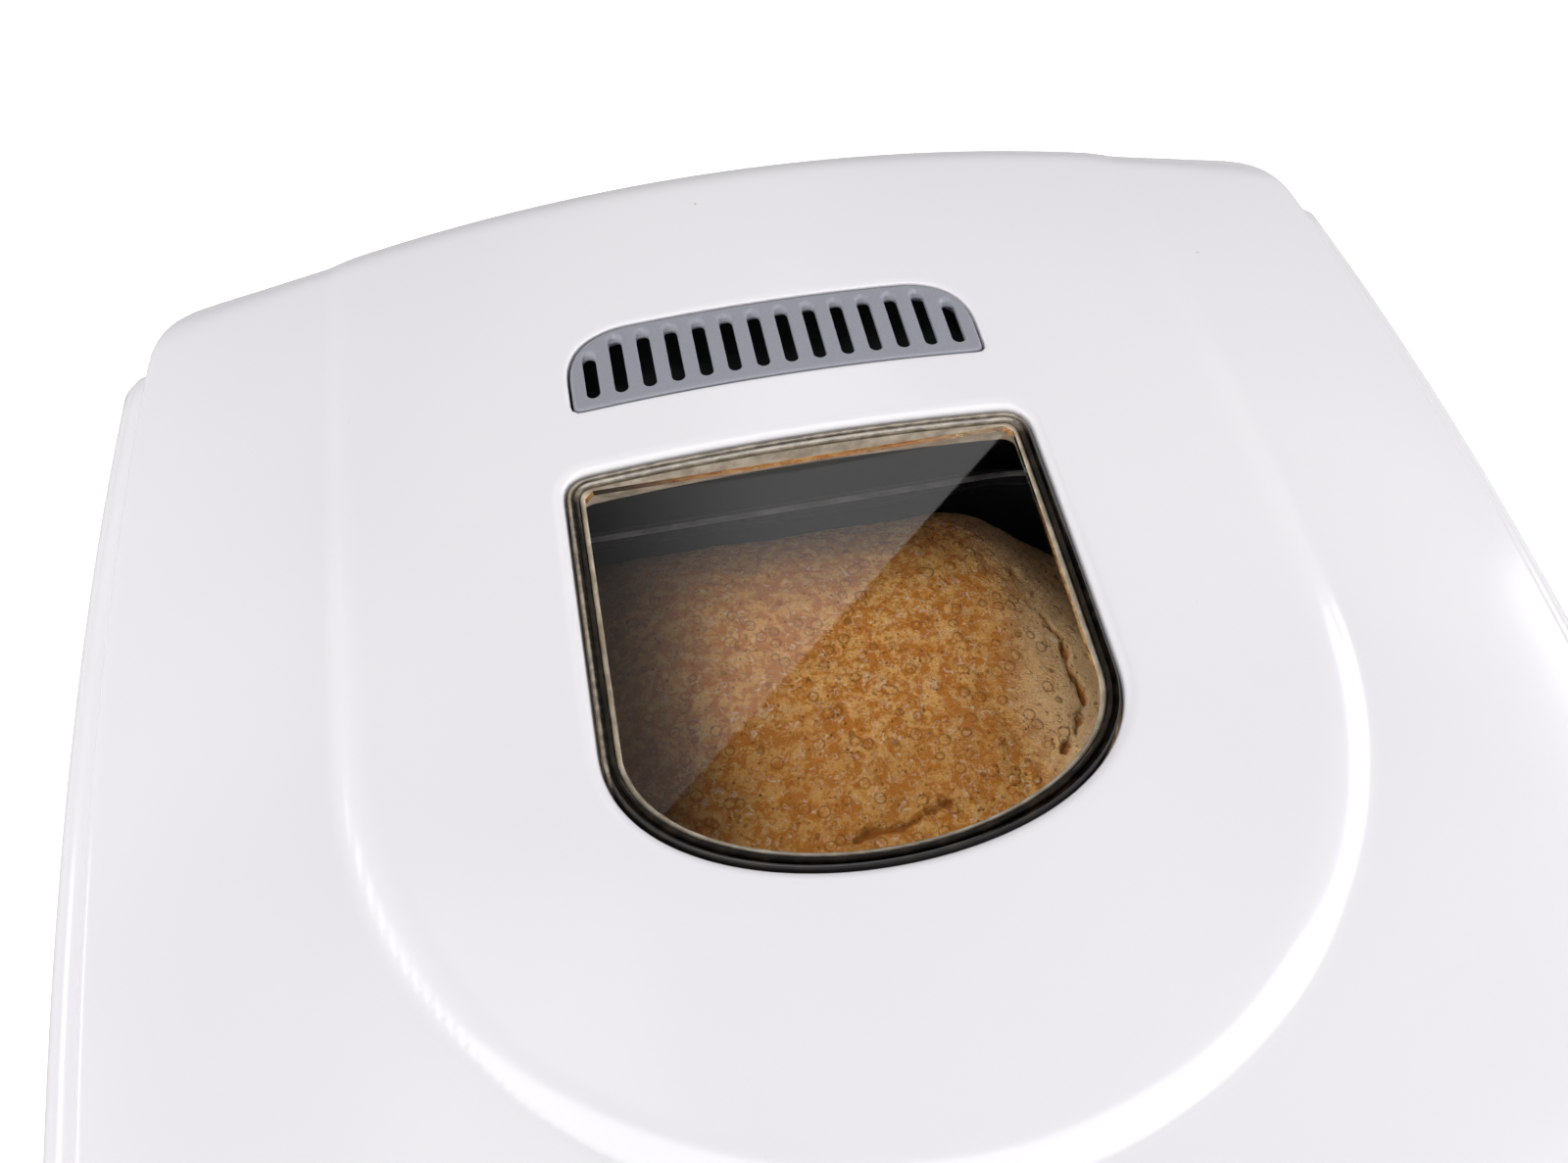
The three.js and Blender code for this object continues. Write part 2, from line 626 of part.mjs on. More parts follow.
// ---------------------------------------------------------------- hinge
function hingeBracket(side) {
  const x = side * HINGE.x;
  const foot = box(x - 14, x + 14, 163, 175, 236, 247);
  const lugs = [];
  for (const dx of [-14, 7]) {
    lugs.push(rod(HINGE.r, x + dx, x + dx + 7, HINGE.y, HINGE.z));
    lugs.push(box(x + dx, x + dx + 7, HINGE.y - 3, 175, 240, HINGE.z));
  }
  return joined(foot, ...lugs).subtract(rod(HINGE.pin + 0.05, x - 16, x + 16, HINGE.y, HINGE.z, 12));
}

function hingePin(side) {
  const x = side * HINGE.x;
  return rod(HINGE.pin - 0.1, x - 13.4, x + 13.4, HINGE.y, HINGE.z);
}

// ---------------------------------------------------------------- chamber and heater
function chamberLiner() {
  const { halfX, halfY, r, floor, top, wall } = CHAMBER;
  const lip = 9;
  const outer = prism(roundRect(halfX + wall, halfY + wall, r + wall, 0, DRIVE_Y), floor - wall, top, 4);
  const flange = prism(roundRect(halfX + lip, halfY + lip, r + lip, 0, DRIVE_Y), top, top + 1.4, 4);
  const inner = prism(roundRect(halfX, halfY, r, 0, DRIVE_Y), floor, top + 20, 4);
  const openings = [
    inner,
    drum(BASE_RING.r + 9, 60, 100, 0, DRIVE_Y, 28),
    frontHole(5.4, -HEATER.leadX, HEATER.z),
    frontHole(5.4, HEATER.leadX, HEATER.z),
    frontHole(SENSOR.r + 1, SENSOR.x, SENSOR.z),
  ];
  return joined(outer, flange).subtract(joined(...openings));
}

// A hole through the chamber's front wall.
function frontHole(r, x, z) {
  const geometry = new THREE.CylinderGeometry(r, r, 20, 16);
  return solid(geometry.translate(x, DRIVE_Y - CHAMBER.halfY, z));
}

// The heating element: a loop round the foot of the chamber, open at the front, with its ends turned out.
function heatingElement() {
  const { halfX, halfY, r, z, leadX } = HEATER;
  const y0 = DRIVE_Y - halfY;
  const y1 = DRIVE_Y + halfY;
  const path = new THREE.CurvePath();
  const at = (x, y) => new THREE.Vector3(x, y, z);
  const bend = (a, b, c) => path.add(new THREE.QuadraticBezierCurve3(a, b, c));
  const line = (a, b) => path.add(new THREE.LineCurve3(a, b));
  const out = y0 - 22;
  line(at(-leadX, out), at(-leadX, y0));
  bend(at(-leadX, y0), at(-leadX, y0 + 6), at(-leadX - 8, y0 + 8));
  bend(at(-leadX - 8, y0 + 8), at(-halfX, y0 + 11), at(-halfX, y0 + r));
  line(at(-halfX, y0 + r), at(-halfX, y1 - r));
  bend(at(-halfX, y1 - r), at(-halfX, y1), at(-halfX + r, y1));
  line(at(-halfX + r, y1), at(halfX - r, y1));
  bend(at(halfX - r, y1), at(halfX, y1), at(halfX, y1 - r));
  line(at(halfX, y1 - r), at(halfX, y0 + r));
  bend(at(halfX, y0 + r), at(halfX, y0 + 11), at(leadX + 8, y0 + 8));
  bend(at(leadX + 8, y0 + 8), at(leadX, y0 + 6), at(leadX, y0));
  line(at(leadX, y0), at(leadX, out));
  return tube(path, HEATER.tube, 44);
}

// The ceramic bush that insulates each lead where it leaves the chamber.
function leadBush(side) {
  const y = DRIVE_Y - CHAMBER.halfY;
  const profile = [[HEATER.tube + 0.4, -10], [5, -10], [5, 3], [7, 3], [7, 8], [HEATER.tube + 0.4, 8]];
  const points = [...profile, profile[0]].map(([r, z]) => new THREE.Vector2(r, z));
  const geometry = new THREE.LatheGeometry(points, 12);
  return solid(geometry.rotateX(Math.PI).translate(side * HEATER.leadX, y - 4.6, HEATER.z));
}

// A bracket that holds the heating element off the chamber's side wall.
function elementClip(side) {
  const x = HEATER.halfX;
  const wall = CHAMBER.halfX - GAP;
  const [y0, y1] = [DRIVE_Y - 5, DRIVE_Y + 5];
  const clip = box(x - 5.5, wall, y0, y1, HEATER.z - 6, HEATER.z - 4);
  const post = box(wall - 1.6, wall, y0, y1, HEATER.z - 6, HEATER.z + 8);
  const body = clip.add(post);
  return side > 0 ? body : mirrored(body);
}

function temperatureSensor() {
  const { x, z, r } = SENSOR;
  const y = DRIVE_Y - CHAMBER.halfY;
  const probe = new THREE.CylinderGeometry(r, r, 24, 12).translate(x, y - 1, z);
  const flange = new THREE.CylinderGeometry(7, 7, 2, 16).translate(x, y - 3, z);
  return solid(probe).add(solid(flange));
}

// ---------------------------------------------------------------- drive
// The casting under the chamber that carries the drive shaft.
function driveCasting() {
  const { halfX, halfY, legX, legY, boss } = CASTING;
  const top = CHAMBER.floor - CHAMBER.wall - GAP;
  const bodies = [
    prism(roundRect(halfX, halfY, 14, 0, DRIVE_Y), top - 3, top, 4),
    drum(boss, BUSH_BOTTOM, top, 0, DRIVE_Y, 24),
  ];
  for (const x of [-legX, legX]) {
    for (const y of [-legY, legY]) {
      bodies.push(drum(5, FLOOR_Z + BASE_PLATE + GAP, top - 1, x, DRIVE_Y + y, 12));
    }
  }
  return joined(...bodies).subtract(drum(SHAFT.bush + GAP, 20, 100, 0, DRIVE_Y, 24));
}

const BUSH_BOTTOM = PULLEY.z + PULLEY.height + 6;

// A sleeve about the drive axis, from z0 to z1.
const sleeve = (inner, outer, z0, z1, sides = 20) =>
  turned([[inner, z0], [outer, z0], [outer, z1], [inner, z1], [inner, z0]], 0, DRIVE_Y, sides);

const shaftBush = () => sleeve(SHAFT.r + 0.1, SHAFT.bush, BUSH_BOTTOM, CHAMBER.floor - 4);

const driveShaft = () => drum(SHAFT.r, PULLEY.z - 4, CHAMBER.floor + 3, 0, DRIVE_Y, 20);

// The two-winged dog on top of the drive shaft.
function driveDog() {
  const z = CHAMBER.floor + 3 + GAP;
  const hub = drum(9, z, z + 3, 0, DRIVE_Y, 20);
  const wing = box(-17, 17, DRIVE_Y - 3, DRIVE_Y + 3, z, z + 3);
  const ears = [-17, 12].map((x) => box(x, x + 5, DRIVE_Y - 3, DRIVE_Y + 3, z, z + 8));
  return joined(hub, wing, ...ears);
}

function largePulley() {
  const { bigR, z, height } = PULLEY;
  const hollow = drum(bigR - 5, z + 3, z + 20, 0, DRIVE_Y, 32);
  const rim = drum(bigR, z, z + height, 0, DRIVE_Y, 40).subtract(hollow);
  const hub = drum(12, z, z + height + 2, 0, DRIVE_Y, 20);
  return rim.add(hub).subtract(drum(SHAFT.r + GAP, 0, 80, 0, DRIVE_Y, 16));
}

// The motor's shaft, with the small pulley on its lower end.
function motorPulley() {
  const { smallR, z, height } = PULLEY;
  const shaft = drum(3, z - 3, MOTOR.bottom + 30, 0, MOTOR.y, 12);
  return drum(smallR, z, z + height, 0, MOTOR.y, 20).add(shaft);
}

// The belt: a band of even thickness round both pulleys.
function driveBelt() {
  const hull = (grow) => {
    const shape = new THREE.Shape();
    const [a, b] = [PULLEY.bigR + grow, PULLEY.smallR + grow];
    const lean = Math.asin((a - b) / (DRIVE_Y - MOTOR.y));
    shape.absarc(0, DRIVE_Y, a, -lean, Math.PI + lean, false);
    shape.absarc(0, MOTOR.y, b, Math.PI + lean, Math.PI * 2 - lean, false);
    return shape;
  };
  const { inside, outside, height } = BELT;
  const z = PULLEY.z + 2;
  return prism(hull(outside), z, z + height, 8).subtract(prism(hull(inside), z - 1, z + height + 1, 8));
}

function motorBody() {
  const { y, r, bottom, height } = MOTOR;
  const can = drum(r, bottom, bottom + height, 0, y, 32);
  const stack = prism(roundRect(r + 4, r - 6, 4, 0, y), bottom + 12, bottom + height - 12, 3);
  return joined(can, stack).subtract(drum(3.6, bottom - 1, bottom + 34, 0, y, 12));
}

function motorBracket() {
  const { y, bottom } = MOTOR;
  const plate = box(-52, 52, y - 30, y + 30, bottom - 3.4, bottom - GAP);
  const legs = [-46, 46].flatMap((x) =>
    [-24, 24].map((dy) => drum(4, FLOOR_Z + BASE_PLATE + GAP, bottom - 2, x, y + dy, 12)),
  );
  return joined(plate, ...legs).subtract(drum(7, 40, 60, 0, y, 16));
}

// ---------------------------------------------------------------- electrics
// The screen between the hot chamber and the electronics, with a tunnel for the belt.
function heatShield() {
  const { y, halfX, top, thickness } = SHIELD;
  const sheet = box(-halfX, halfX, y, y + thickness, FLOOR_Z + BASE_PLATE + GAP, top);
  return sheet.subtract(box(-34, 34, y - 6, y + 14, 0, 46));
}

// The mains board, with its relay and its coil.
function powerBoard() {
  const { y, halfX, bottom, top, thickness } = POWER_BOARD;
  const face = y + thickness;
  const relay = box(-44, -20, face - 0.2, face + 16.2, bottom + 16, bottom + 34);
  const coil = box(8, 40, face - 0.2, face + 20.2, bottom + 18, bottom + 52);
  return joined(box(-halfX, halfX, y, face, bottom, top), relay, coil);
}

function controlBoard() {
  const surface = (x, y) => topZ(0, y) - 16;
  return layer(roundRect(92, 26, 3, 0, -116), surface, 0, 1.6, 2, 8);
}

const displayModule = () => layer(displayShape(-1.6), (x, y) => topZ(0, y), -5.5, 9.5, 2, 8);

const displayLens = () => layer(displayShape(-GAP), topZ, 0.5, 2, 3);

const statusLight = () => drum(1.8, topZ(0, LIGHT_Y) - 4.5, topZ(0, LIGHT_Y) + 1, 0, LIGHT_Y, 10);

function powerInlet() {
  const { x, z, halfX, halfZ } = INLET;
  const body = box(x - halfX, x + halfX, 152, 173.2, z - halfZ, z + halfZ);
  const well = box(x - halfX + 2, x + halfX - 2, 156, 180, z - halfZ + 2, z + halfZ - 2);
  return body.subtract(well).subtract(box(x - 9, x + 9, 150, 160, z - 3.4, z + 3.4));
}

// The inlet's three blades, the middle one a little higher, on one carrier.
function inletBlades() {
  const { x, z } = INLET;
  const carrier = box(x - 8.6, x + 8.6, 149, 151.6, z - 3, z + 3);
  const blades = [[-7, 0], [0, 1], [7, 0]].map(([dx, dz]) =>
    box(x + dx - 1, x + dx + 1, 151, 167, z + dz - 2, z + dz + 2),
  );
  return joined(carrier, ...blades);
}

// ---------------------------------------------------------------- pan
// One ring of the pan at a height, `out` from its inner wall.
function panRing(z, out) {
  const t = (z - PAN.floor) / (PAN.rim - PAN.floor);
  const halfX = PAN.footX + (PAN.topX - PAN.footX) * t + out;
  const halfY = PAN.footY + (PAN.topY - PAN.footY) * t + out;
  const shape = roundRect(halfX, halfY, PAN.r + out, 0, DRIVE_Y);
  return shape.getPoints(3).map((p) => new THREE.Vector3(p.x, p.y, z));
}

function breadPan() {
  const { floor, rim, wall, lip } = PAN;
  const body = skin([panRing(floor - wall, wall - 4), panRing(floor + 4, wall), panRing(rim, wall)]);
  const [lipInner, lipOuter, lipTop] = [wall / 2, lip + wall, rim + 0.6];
  const edge = skin(
    [
      panRing(rim - 3, lipInner),
      panRing(rim - 3, lipOuter),
      panRing(lipTop, lipOuter),
      panRing(lipTop, lipInner),
    ],
    true,
  );
  const hollow = skin([panRing(floor, -4), panRing(floor + 4, 0), panRing(rim + 4, 0)]);
  const shaftHole = drum(8, 80, 110, 0, DRIVE_Y, 20);
  return joined(body, edge).subtract(hollow).subtract(shaftHole).add(joined(panEar(-1), panEar(1)));
}

// The upright ear that the handle pivots in.
function panEar(side) {
  const { x, z, t } = EAR;
  const [y0, y1] = [DRIVE_Y - 6, DRIVE_Y + 6];
  const foot = PAN.rim - 14;
  const tab = box(x - t, x, y0, y1, foot, z);
  const link = box(PAN.topX + 1, x, y0, y1, foot, foot + 6);
  const hole = rod(2.6, x - t - 1, x + 1, DRIVE_Y, z, 14);
  const ear = joined(tab, rod(6, x - t, x, DRIVE_Y, z, 20), link).subtract(hole);
  return side > 0 ? ear : mirrored(ear);
}

// The round skirt under the pan, with the two lugs that lock into the chamber.
function panBaseRing() {
  const { r, wall, bottom } = BASE_RING;
  const top = PAN.floor - PAN.wall - GAP;
  const ring = drum(r, bottom, top, 0, DRIVE_Y).subtract(drum(r - wall, bottom - 1, top + 1, 0, DRIVE_Y));
  const lug = box(r - 1, r + 4, -4.6, 4.6, bottom + 1, bottom + 4);
  const lugs = [0, 180].map((a) => lug.rotate([0, 0, a]).translate([0, DRIVE_Y, 0]));
  return joined(ring, ...lugs);
}

// The seat in the chamber floor: a ring with two hooks over the lugs of the pan's base.
function panLockRing() {
  const inner = BASE_RING.r + 5.2;
  const z = CHAMBER.floor;
  const foot = z - CHAMBER.wall;
  const ring = drum(inner + 3, foot, z + 11, 0, DRIVE_Y, 28)
    .subtract(drum(inner, z - 3, z + 12, 0, DRIVE_Y, 28));
  const floorRing = drum(inner + 1, foot, z + 1, 0, DRIVE_Y, 28)
    .subtract(drum(20, z - 3, z + 2, 0, DRIVE_Y, 20));
  const hook = box(BASE_RING.r + 0.8, inner + 1, -5.6, 5.6, z + 8.2, z + 11);
  const hooks = [0, 180].map((a) => hook.rotate([0, 0, a]).translate([0, DRIVE_Y, 0]));
  return joined(ring, floorRing, ...hooks);
}

// The bearing in the pan's floor, with a flange under it.
function panBearing() {
  const { floor, wall } = PAN;
  const flange = sleeve(4.4, 11, floor - 9, floor - wall - GAP);
  return flange.add(sleeve(4.4, 7.6, floor - 9, floor + 4));
}

// The wire handle, folded forwards over the rim, with its ends turned in through the ears.
function panHandle() {
  const { halfX, reach, wire, square } = BAIL;
  const z = EAR.z;
  const corner = 14;
  const path = new THREE.CurvePath();
  const at = (i) => {
    const a = (i / corner) * Math.PI;
    const across = Math.sign(Math.cos(a)) * Math.abs(Math.cos(a)) ** square;
    return new THREE.Vector3(-halfX * across, DRIVE_Y - reach * Math.sin(a) ** square, z);
  };
  for (let i = 0; i < corner; i++) path.add(new THREE.LineCurve3(at(i), at(i + 1)));
  const ends = [-1, 1].map((side) => {
    const [x0, x1] = [side * (EAR.x - 4.5), side * (halfX + wire - 0.3)].sort((p, q) => p - q);
    return rod(wire, x0, x1, DRIVE_Y, z, 10);
  });
  return joined(tube(path, wire, 32, 6), ...ends);
}

const paddleShaft = () =>
  joined(
    drum(4, CHAMBER.floor + 11, PAN.floor + 22, 0, DRIVE_Y, 16),
    box(-3, 3, DRIVE_Y - 15, DRIVE_Y + 15, CHAMBER.floor + 7.4, CHAMBER.floor + 11.4),
  );

function kneadingPaddle() {
  const z = PAN.floor + 5;
  const hub = turned([[4.4, z], [9, z], [8, z + 16], [4.4, z + 16], [4.4, z]], 0, DRIVE_Y, 18);
  const blade = new THREE.Shape();
  blade.moveTo(6, z + 0.5);
  blade.quadraticCurveTo(24, z + 0.5, 32, z + 3);
  blade.quadraticCurveTo(36, z + 14, 27, z + 20);
  blade.quadraticCurveTo(14, z + 18, 6, z + 14);
  const options = { depth: 3, bevelEnabled: false, curveSegments: 4 };
  const fin = new THREE.ExtrudeGeometry(blade, options).rotateX(Math.PI / 2);
  return hub.add(solid(fin.translate(0, DRIVE_Y + 1.5, 0)));
}

// ---------------------------------------------------------------- loaf
// The baked loaf fills the pan, its crown stands above the rim, and its foot is hollow round the paddle.
function breadLoaf() {
  const { crown, rise, gap } = LOAF;
  const low = PAN.floor + 0.8;
  const base = PAN.rim - rise;
  const rings = [panRing(low, -6), panRing(low + 5, -gap)];
  for (const angle of [0, 0.35, 0.7, 1, 1.25, 1.42]) {
    const z = base + (crown - base) * Math.sin(angle);
    const reach = Math.cos(angle) ** 0.55;
    const shrunk = (p) => new THREE.Vector3(p.x * reach, DRIVE_Y + (p.y - DRIVE_Y) * reach, z);
    rings.push(panRing(base, -gap).map(shrunk));
  }
  return skin(rings).subtract(drum(38, 90, PAN.floor + 32, 0, DRIVE_Y, 28));
}

// ---------------------------------------------------------------- assembly
function machine() {
  const m = MATERIAL;
  const group = new THREE.Group();
  const add = (name, body, material) => group.add(part(name, body, material));

  add("housing_shell", housingShell(), m.white);
  add("base_plate", basePlate(), m.white);
  add("lid_deck", lidDeck(), m.white);
  add("control_housing", controlHousing(), m.white);
  for (const [side, x] of [["left", -FOOT.x], ["right", FOOT.x]]) {
    add(`foot_front_${side}`, foot(x, FOOT.front), m.rubber);
    add(`foot_rear_${side}`, foot(x, FOOT.rear), m.rubber);
  }

  add("control_fascia", controlFascia(), m.grey);
  add("display_lens", displayLens(), m.smoke);
  add("display_module", displayModule(), m.grey);
  add("status_light", statusLight(), m.smoke);
  add("control_board", controlBoard(), m.board);
  for (const place of buttonPlaces()) add(`button_${place.name}`, button(place), m.white);

  add("lid_shell", lidShell(), m.white);
  add("lid_liner", lidLiner(), m.dark);
  add("window_frame", windowFrame(), m.dark);
  add("window_pane", windowPane(), m.smoke);
  add("inner_pane", innerPane(), m.smoke);
  add("vent_grille", ventGrille(), m.grey);
  for (const [side, sign] of [["left", -1], ["right", 1]]) {
    add(`hinge_bracket_${side}`, hingeBracket(sign), m.white);
    add(`hinge_pin_${side}`, hingePin(sign), m.steel);
    add(`element_bush_${side}`, leadBush(sign), m.ceramic);
    add(`element_clip_${side}`, elementClip(sign), m.steel);
  }

  add("chamber_liner", chamberLiner(), m.coat);
  add("heating_element", heatingElement(), m.steel);
  add("temperature_sensor", temperatureSensor(), m.steel);
  add("pan_lock_ring", panLockRing(), m.aluminium);

  add("drive_casting", driveCasting(), m.aluminium);
  add("shaft_bush", shaftBush(), m.brass);
  add("drive_shaft", driveShaft(), m.steel);
  add("drive_dog", driveDog(), m.steel);
  add("large_pulley", largePulley(), m.dark);
  add("motor_pulley", motorPulley(), m.steel);
  add("drive_belt", driveBelt(), m.rubber);
  add("motor_body", motorBody(), m.steel);
  add("motor_bracket", motorBracket(), m.steel);

  add("heat_shield", heatShield(), m.aluminium);
  add("power_board", powerBoard(), m.board);
  add("power_inlet", powerInlet(), m.dark);
  add("inlet_blades", inletBlades(), m.brass);

  add("bread_pan", breadPan(), m.coat);
  add("pan_base_ring", panBaseRing(), m.aluminium);
  add("pan_bearing", panBearing(), m.brass);
  add("pan_handle", panHandle(), m.steel);
  add("paddle_shaft", paddleShaft(), m.steel);
  add("kneading_paddle", kneadingPaddle(), m.coat);
  add("bread_loaf", breadLoaf(), m.crust);
  return group;
}

export default machine();
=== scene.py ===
import json
import math

import bmesh
import bpy
import numpy as np
from mathutils import Matrix, Vector, noise


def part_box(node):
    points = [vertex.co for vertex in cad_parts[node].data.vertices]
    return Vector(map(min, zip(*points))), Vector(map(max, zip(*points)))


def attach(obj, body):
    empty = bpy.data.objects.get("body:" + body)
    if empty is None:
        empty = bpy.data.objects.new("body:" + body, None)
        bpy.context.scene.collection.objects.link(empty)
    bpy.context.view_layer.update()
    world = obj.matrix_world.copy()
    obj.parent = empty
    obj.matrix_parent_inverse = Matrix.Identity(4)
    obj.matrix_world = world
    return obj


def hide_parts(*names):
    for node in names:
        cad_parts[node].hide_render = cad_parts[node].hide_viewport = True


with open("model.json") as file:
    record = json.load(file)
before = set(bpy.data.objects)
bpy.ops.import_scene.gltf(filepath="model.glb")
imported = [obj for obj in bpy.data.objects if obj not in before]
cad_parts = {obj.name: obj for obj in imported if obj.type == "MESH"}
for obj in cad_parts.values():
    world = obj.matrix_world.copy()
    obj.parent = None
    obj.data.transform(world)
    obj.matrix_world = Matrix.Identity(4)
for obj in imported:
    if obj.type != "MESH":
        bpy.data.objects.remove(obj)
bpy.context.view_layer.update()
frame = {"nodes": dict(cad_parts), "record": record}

MM = 0.001


def box_mm(node):
    """Lowest and highest corner of a CAD node, in millimetres."""
    low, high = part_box(node)
    return np.array(low) / MM, np.array(high) / MM


def centre_mm(node):
    low, high = box_mm(node)
    return (low + high) / 2


# ---- driving dimensions, as in the CAD source
GAP = 0.4  # between parts that nest
APEX_Z = 289.4
APEX_Y = 95.0
CROWN_X = 14.5e-4
CROWN_Y = 6.2e-4
LID_FRONT_Y = -70.0
LID_REAR_Y = 167.0
DECK_JOIN_Y = -71.2
FRONT_FALL = 22e-4
FRONT_FLATTEN = 0.9
FRONT_RUN = 92.0
HALF_WIDTH = 126.0
SIDE_BOW = 2.5e-4
WIDEST_Y = 20.0
FRONT_Y = -163.0
FRONT_BOW = 4.0
CORNER_R = 17.0
CUT_R = 2.0
WALL = 2.6
RIM_STEP = 4.3
REAR_DROP = {"depth": 11.3, "start": 150.0, "run": 13.0}  # the rim drops here to clear the hinge
SHOULDER_OUT = 9.5
SHOULDER_DOWN = 13.0
BASE_OUT = 3.0
LID_SKIRT = 9.0
PANEL_HALF = 80.0
PANEL_ARC_Y = 42.2
PANEL_REAR_H = 0.6
PANEL_FRONT_H = 2.4
PANEL_RAMP = 7.5  # width of the panel's sloping edge
WINDOW_HALF = 40.9
WINDOW_REAR_Y = 84.8
WINDOW_SIDE_Y = 31.0
WINDOW_FRONT_Y = 4.7
VENT_HALF = 37.6
VENT_FRONT_Y = 98.4
VENT_REAR_Y = 118.0
SLOT_COUNT = 14
SLOT_PITCH = 5.12
SLOT_WIDTH = 2.45
REAR_ROLL = 14.0
DRIVE_Y = 50.0
FASCIA_R = 12.0

FLOOR_Z = box_mm("housing_shell")[0][2]


# ---- surfaces
def smooth(t):
    s = np.clip(t, 0.0, 1.0)
    return s * s * (3 - 2 * s)


def half_width(y):
    return HALF_WIDTH - SIDE_BOW * (y - WIDEST_Y) ** 2


def top_z(x, y):
    """The crowned top that the lid and the control housing share."""
    ahead = np.maximum(0, DECK_JOIN_Y - y)
    crown = CROWN_X * (1 - FRONT_FLATTEN * smooth(ahead / FRONT_RUN))
    return APEX_Z - crown * x**2 - CROWN_Y * (y - APEX_Y) ** 2 - FRONT_FALL * ahead**2


def edge_z(y):
    return top_z(half_width(y), y)


def rim_z(y):
    drop = REAR_DROP["depth"] * smooth((y - REAR_DROP["start"]) / REAR_DROP["run"])
    return edge_z(y) - RIM_STEP - drop


def skirt_z(y):
    return edge_z(y) - LID_SKIRT


def panel_rise(y):
    return PANEL_REAR_H + (PANEL_FRONT_H - PANEL_REAR_H) * smooth((130 - y) / 170)


def panel_z(x, y):
    return top_z(x, y) + panel_rise(y)


def lid_z(x, y):
    """The lid's outer skin: the crown, the raised panel with its sloping edge, and the roll along the rear."""
    across = np.where(y > PANEL_ARC_Y, np.abs(x), np.hypot(x, y - PANEL_ARC_Y))
    inward = np.clip((PANEL_HALF + PANEL_RAMP * 0.35 - across) / PANEL_RAMP, 0, 1)
    ramp = (1 - (1 - inward) ** 1.9) * smooth(inward / 0.18)
    into_roll = np.clip(y - (LID_REAR_Y - REAR_ROLL), 0, REAR_ROLL - 0.3)
    roll = REAR_ROLL - np.sqrt(REAR_ROLL**2 - into_roll**2)
    at_corner = smooth((np.abs(x) - 80) / 40)
    return top_z(x, y) + panel_rise(y) * ramp - roll * (1 - 0.55 * at_corner)


# ---- outlines
def bezier(controls, count):
    """Points along a Bezier curve, without its first one."""
    points = np.array(controls, float)[:, None, :]
    t = np.linspace(0, 1, count + 1)[1:, None]
    while len(points) > 1:
        points = points[:-1] * (1 - t) + points[1:] * t
    return points[0]


class Path:
    """A closed outline, drawn with lines and curves."""

    def __init__(self, x, y):
        self.points = [np.array([[x, y]], float)]

    def line(self, x, y, count=1):
        self.points.append(bezier([self.points[-1][-1], (x, y)], count))
        return self

    def curve(self, *controls, count=8):
        self.points.append(bezier([self.points[-1][-1], *controls], count))
        return self

    def done(self):
        return np.vstack(self.points)[:-1]


def outline(out, front=FRONT_Y, rear=LID_REAR_Y, fine=1):
    """The machine seen from above, moved outwards by `out`, and cut off square at `front` or `rear` if given."""
    whole_front, whole_rear = front == FRONT_Y, rear == LID_REAR_Y
    y0 = front - out if whole_front else front
    y1 = rear + out if whole_rear else rear
    f = CORNER_R + out if whole_front else CUT_R
    r = CORNER_R + out if whole_rear else CUT_R
    bow = FRONT_BOW if whole_front else 0

    def wide(y):
        return half_width(y) + out

    def side(sign, start, end):
        slope = -2 * SIDE_BOW * (start - WIDEST_Y)
        return (sign * (wide(start) + slope * (end - start) / 2), (start + end) / 2), (sign * wide(end), end)

    path = Path(wide(y0 + f), y0 + f)
    path.curve(*side(1, y0 + f, y1 - r), count=24 * fine)
    path.curve((wide(y1), y1), (wide(y1) - r, y1), count=8 * fine)
    path.line(-wide(y1) + r, y1, count=16 * fine)
    path.curve((-wide(y1), y1), (-wide(y1 - r), y1 - r), count=8 * fine)
    path.curve(*side(-1, y1 - r, y0 + f), count=24 * fine)
    path.curve((-wide(y0), y0), (-wide(y0) + f, y0 - bow * 0.4), count=8 * fine)
    path.curve((0, y0 - bow * 1.6), (wide(y0) - f, y0 - bow * 0.4), count=16 * fine)
    path.curve((wide(y0), y0), (wide(y0 + f), y0 + f), count=8 * fine)
    return path.done()


def round_rect(half_x, half_y, r, x=0.0, y=0.0, fine=6, along=1):
    """A rectangle with round corners, centred on (x, y)."""
    path = Path(x + half_x, y - half_y + r)
    path.line(x + half_x, y + half_y - r, count=along)
    path.curve((x + half_x, y + half_y), (x + half_x - r, y + half_y), count=fine)
    path.line(x - half_x + r, y + half_y, count=along)
    path.curve((x - half_x, y + half_y), (x - half_x, y + half_y - r), count=fine)
    path.line(x - half_x, y - half_y + r, count=along)
    path.curve((x - half_x, y - half_y), (x - half_x + r, y - half_y), count=fine)
    path.line(x + half_x - r, y - half_y, count=along)
    path.curve((x + half_x, y - half_y), (x + half_x, y - half_y + r), count=fine)
    return path.done()


def window_outline(inset):
    w, rear, front = WINDOW_HALF - inset, WINDOW_REAR_Y - inset, WINDOW_FRONT_Y + inset
    r = max(0.6, 5 - inset)
    path = Path(w, WINDOW_SIDE_Y)
    path.line(w, rear - r, count=16)
    path.curve((w, rear), (w - r, rear), count=8)
    path.line(-w + r, rear, count=24)
    path.curve((-w, rear), (-w, rear - r), count=8)
    path.line(-w, WINDOW_SIDE_Y, count=16)
    path.curve((-w, front + 10), (-w * 0.52, front), (0, front), count=24)
    path.curve((w * 0.52, front), (w, front + 10), (w, WINDOW_SIDE_Y), count=24)
    return path.done()


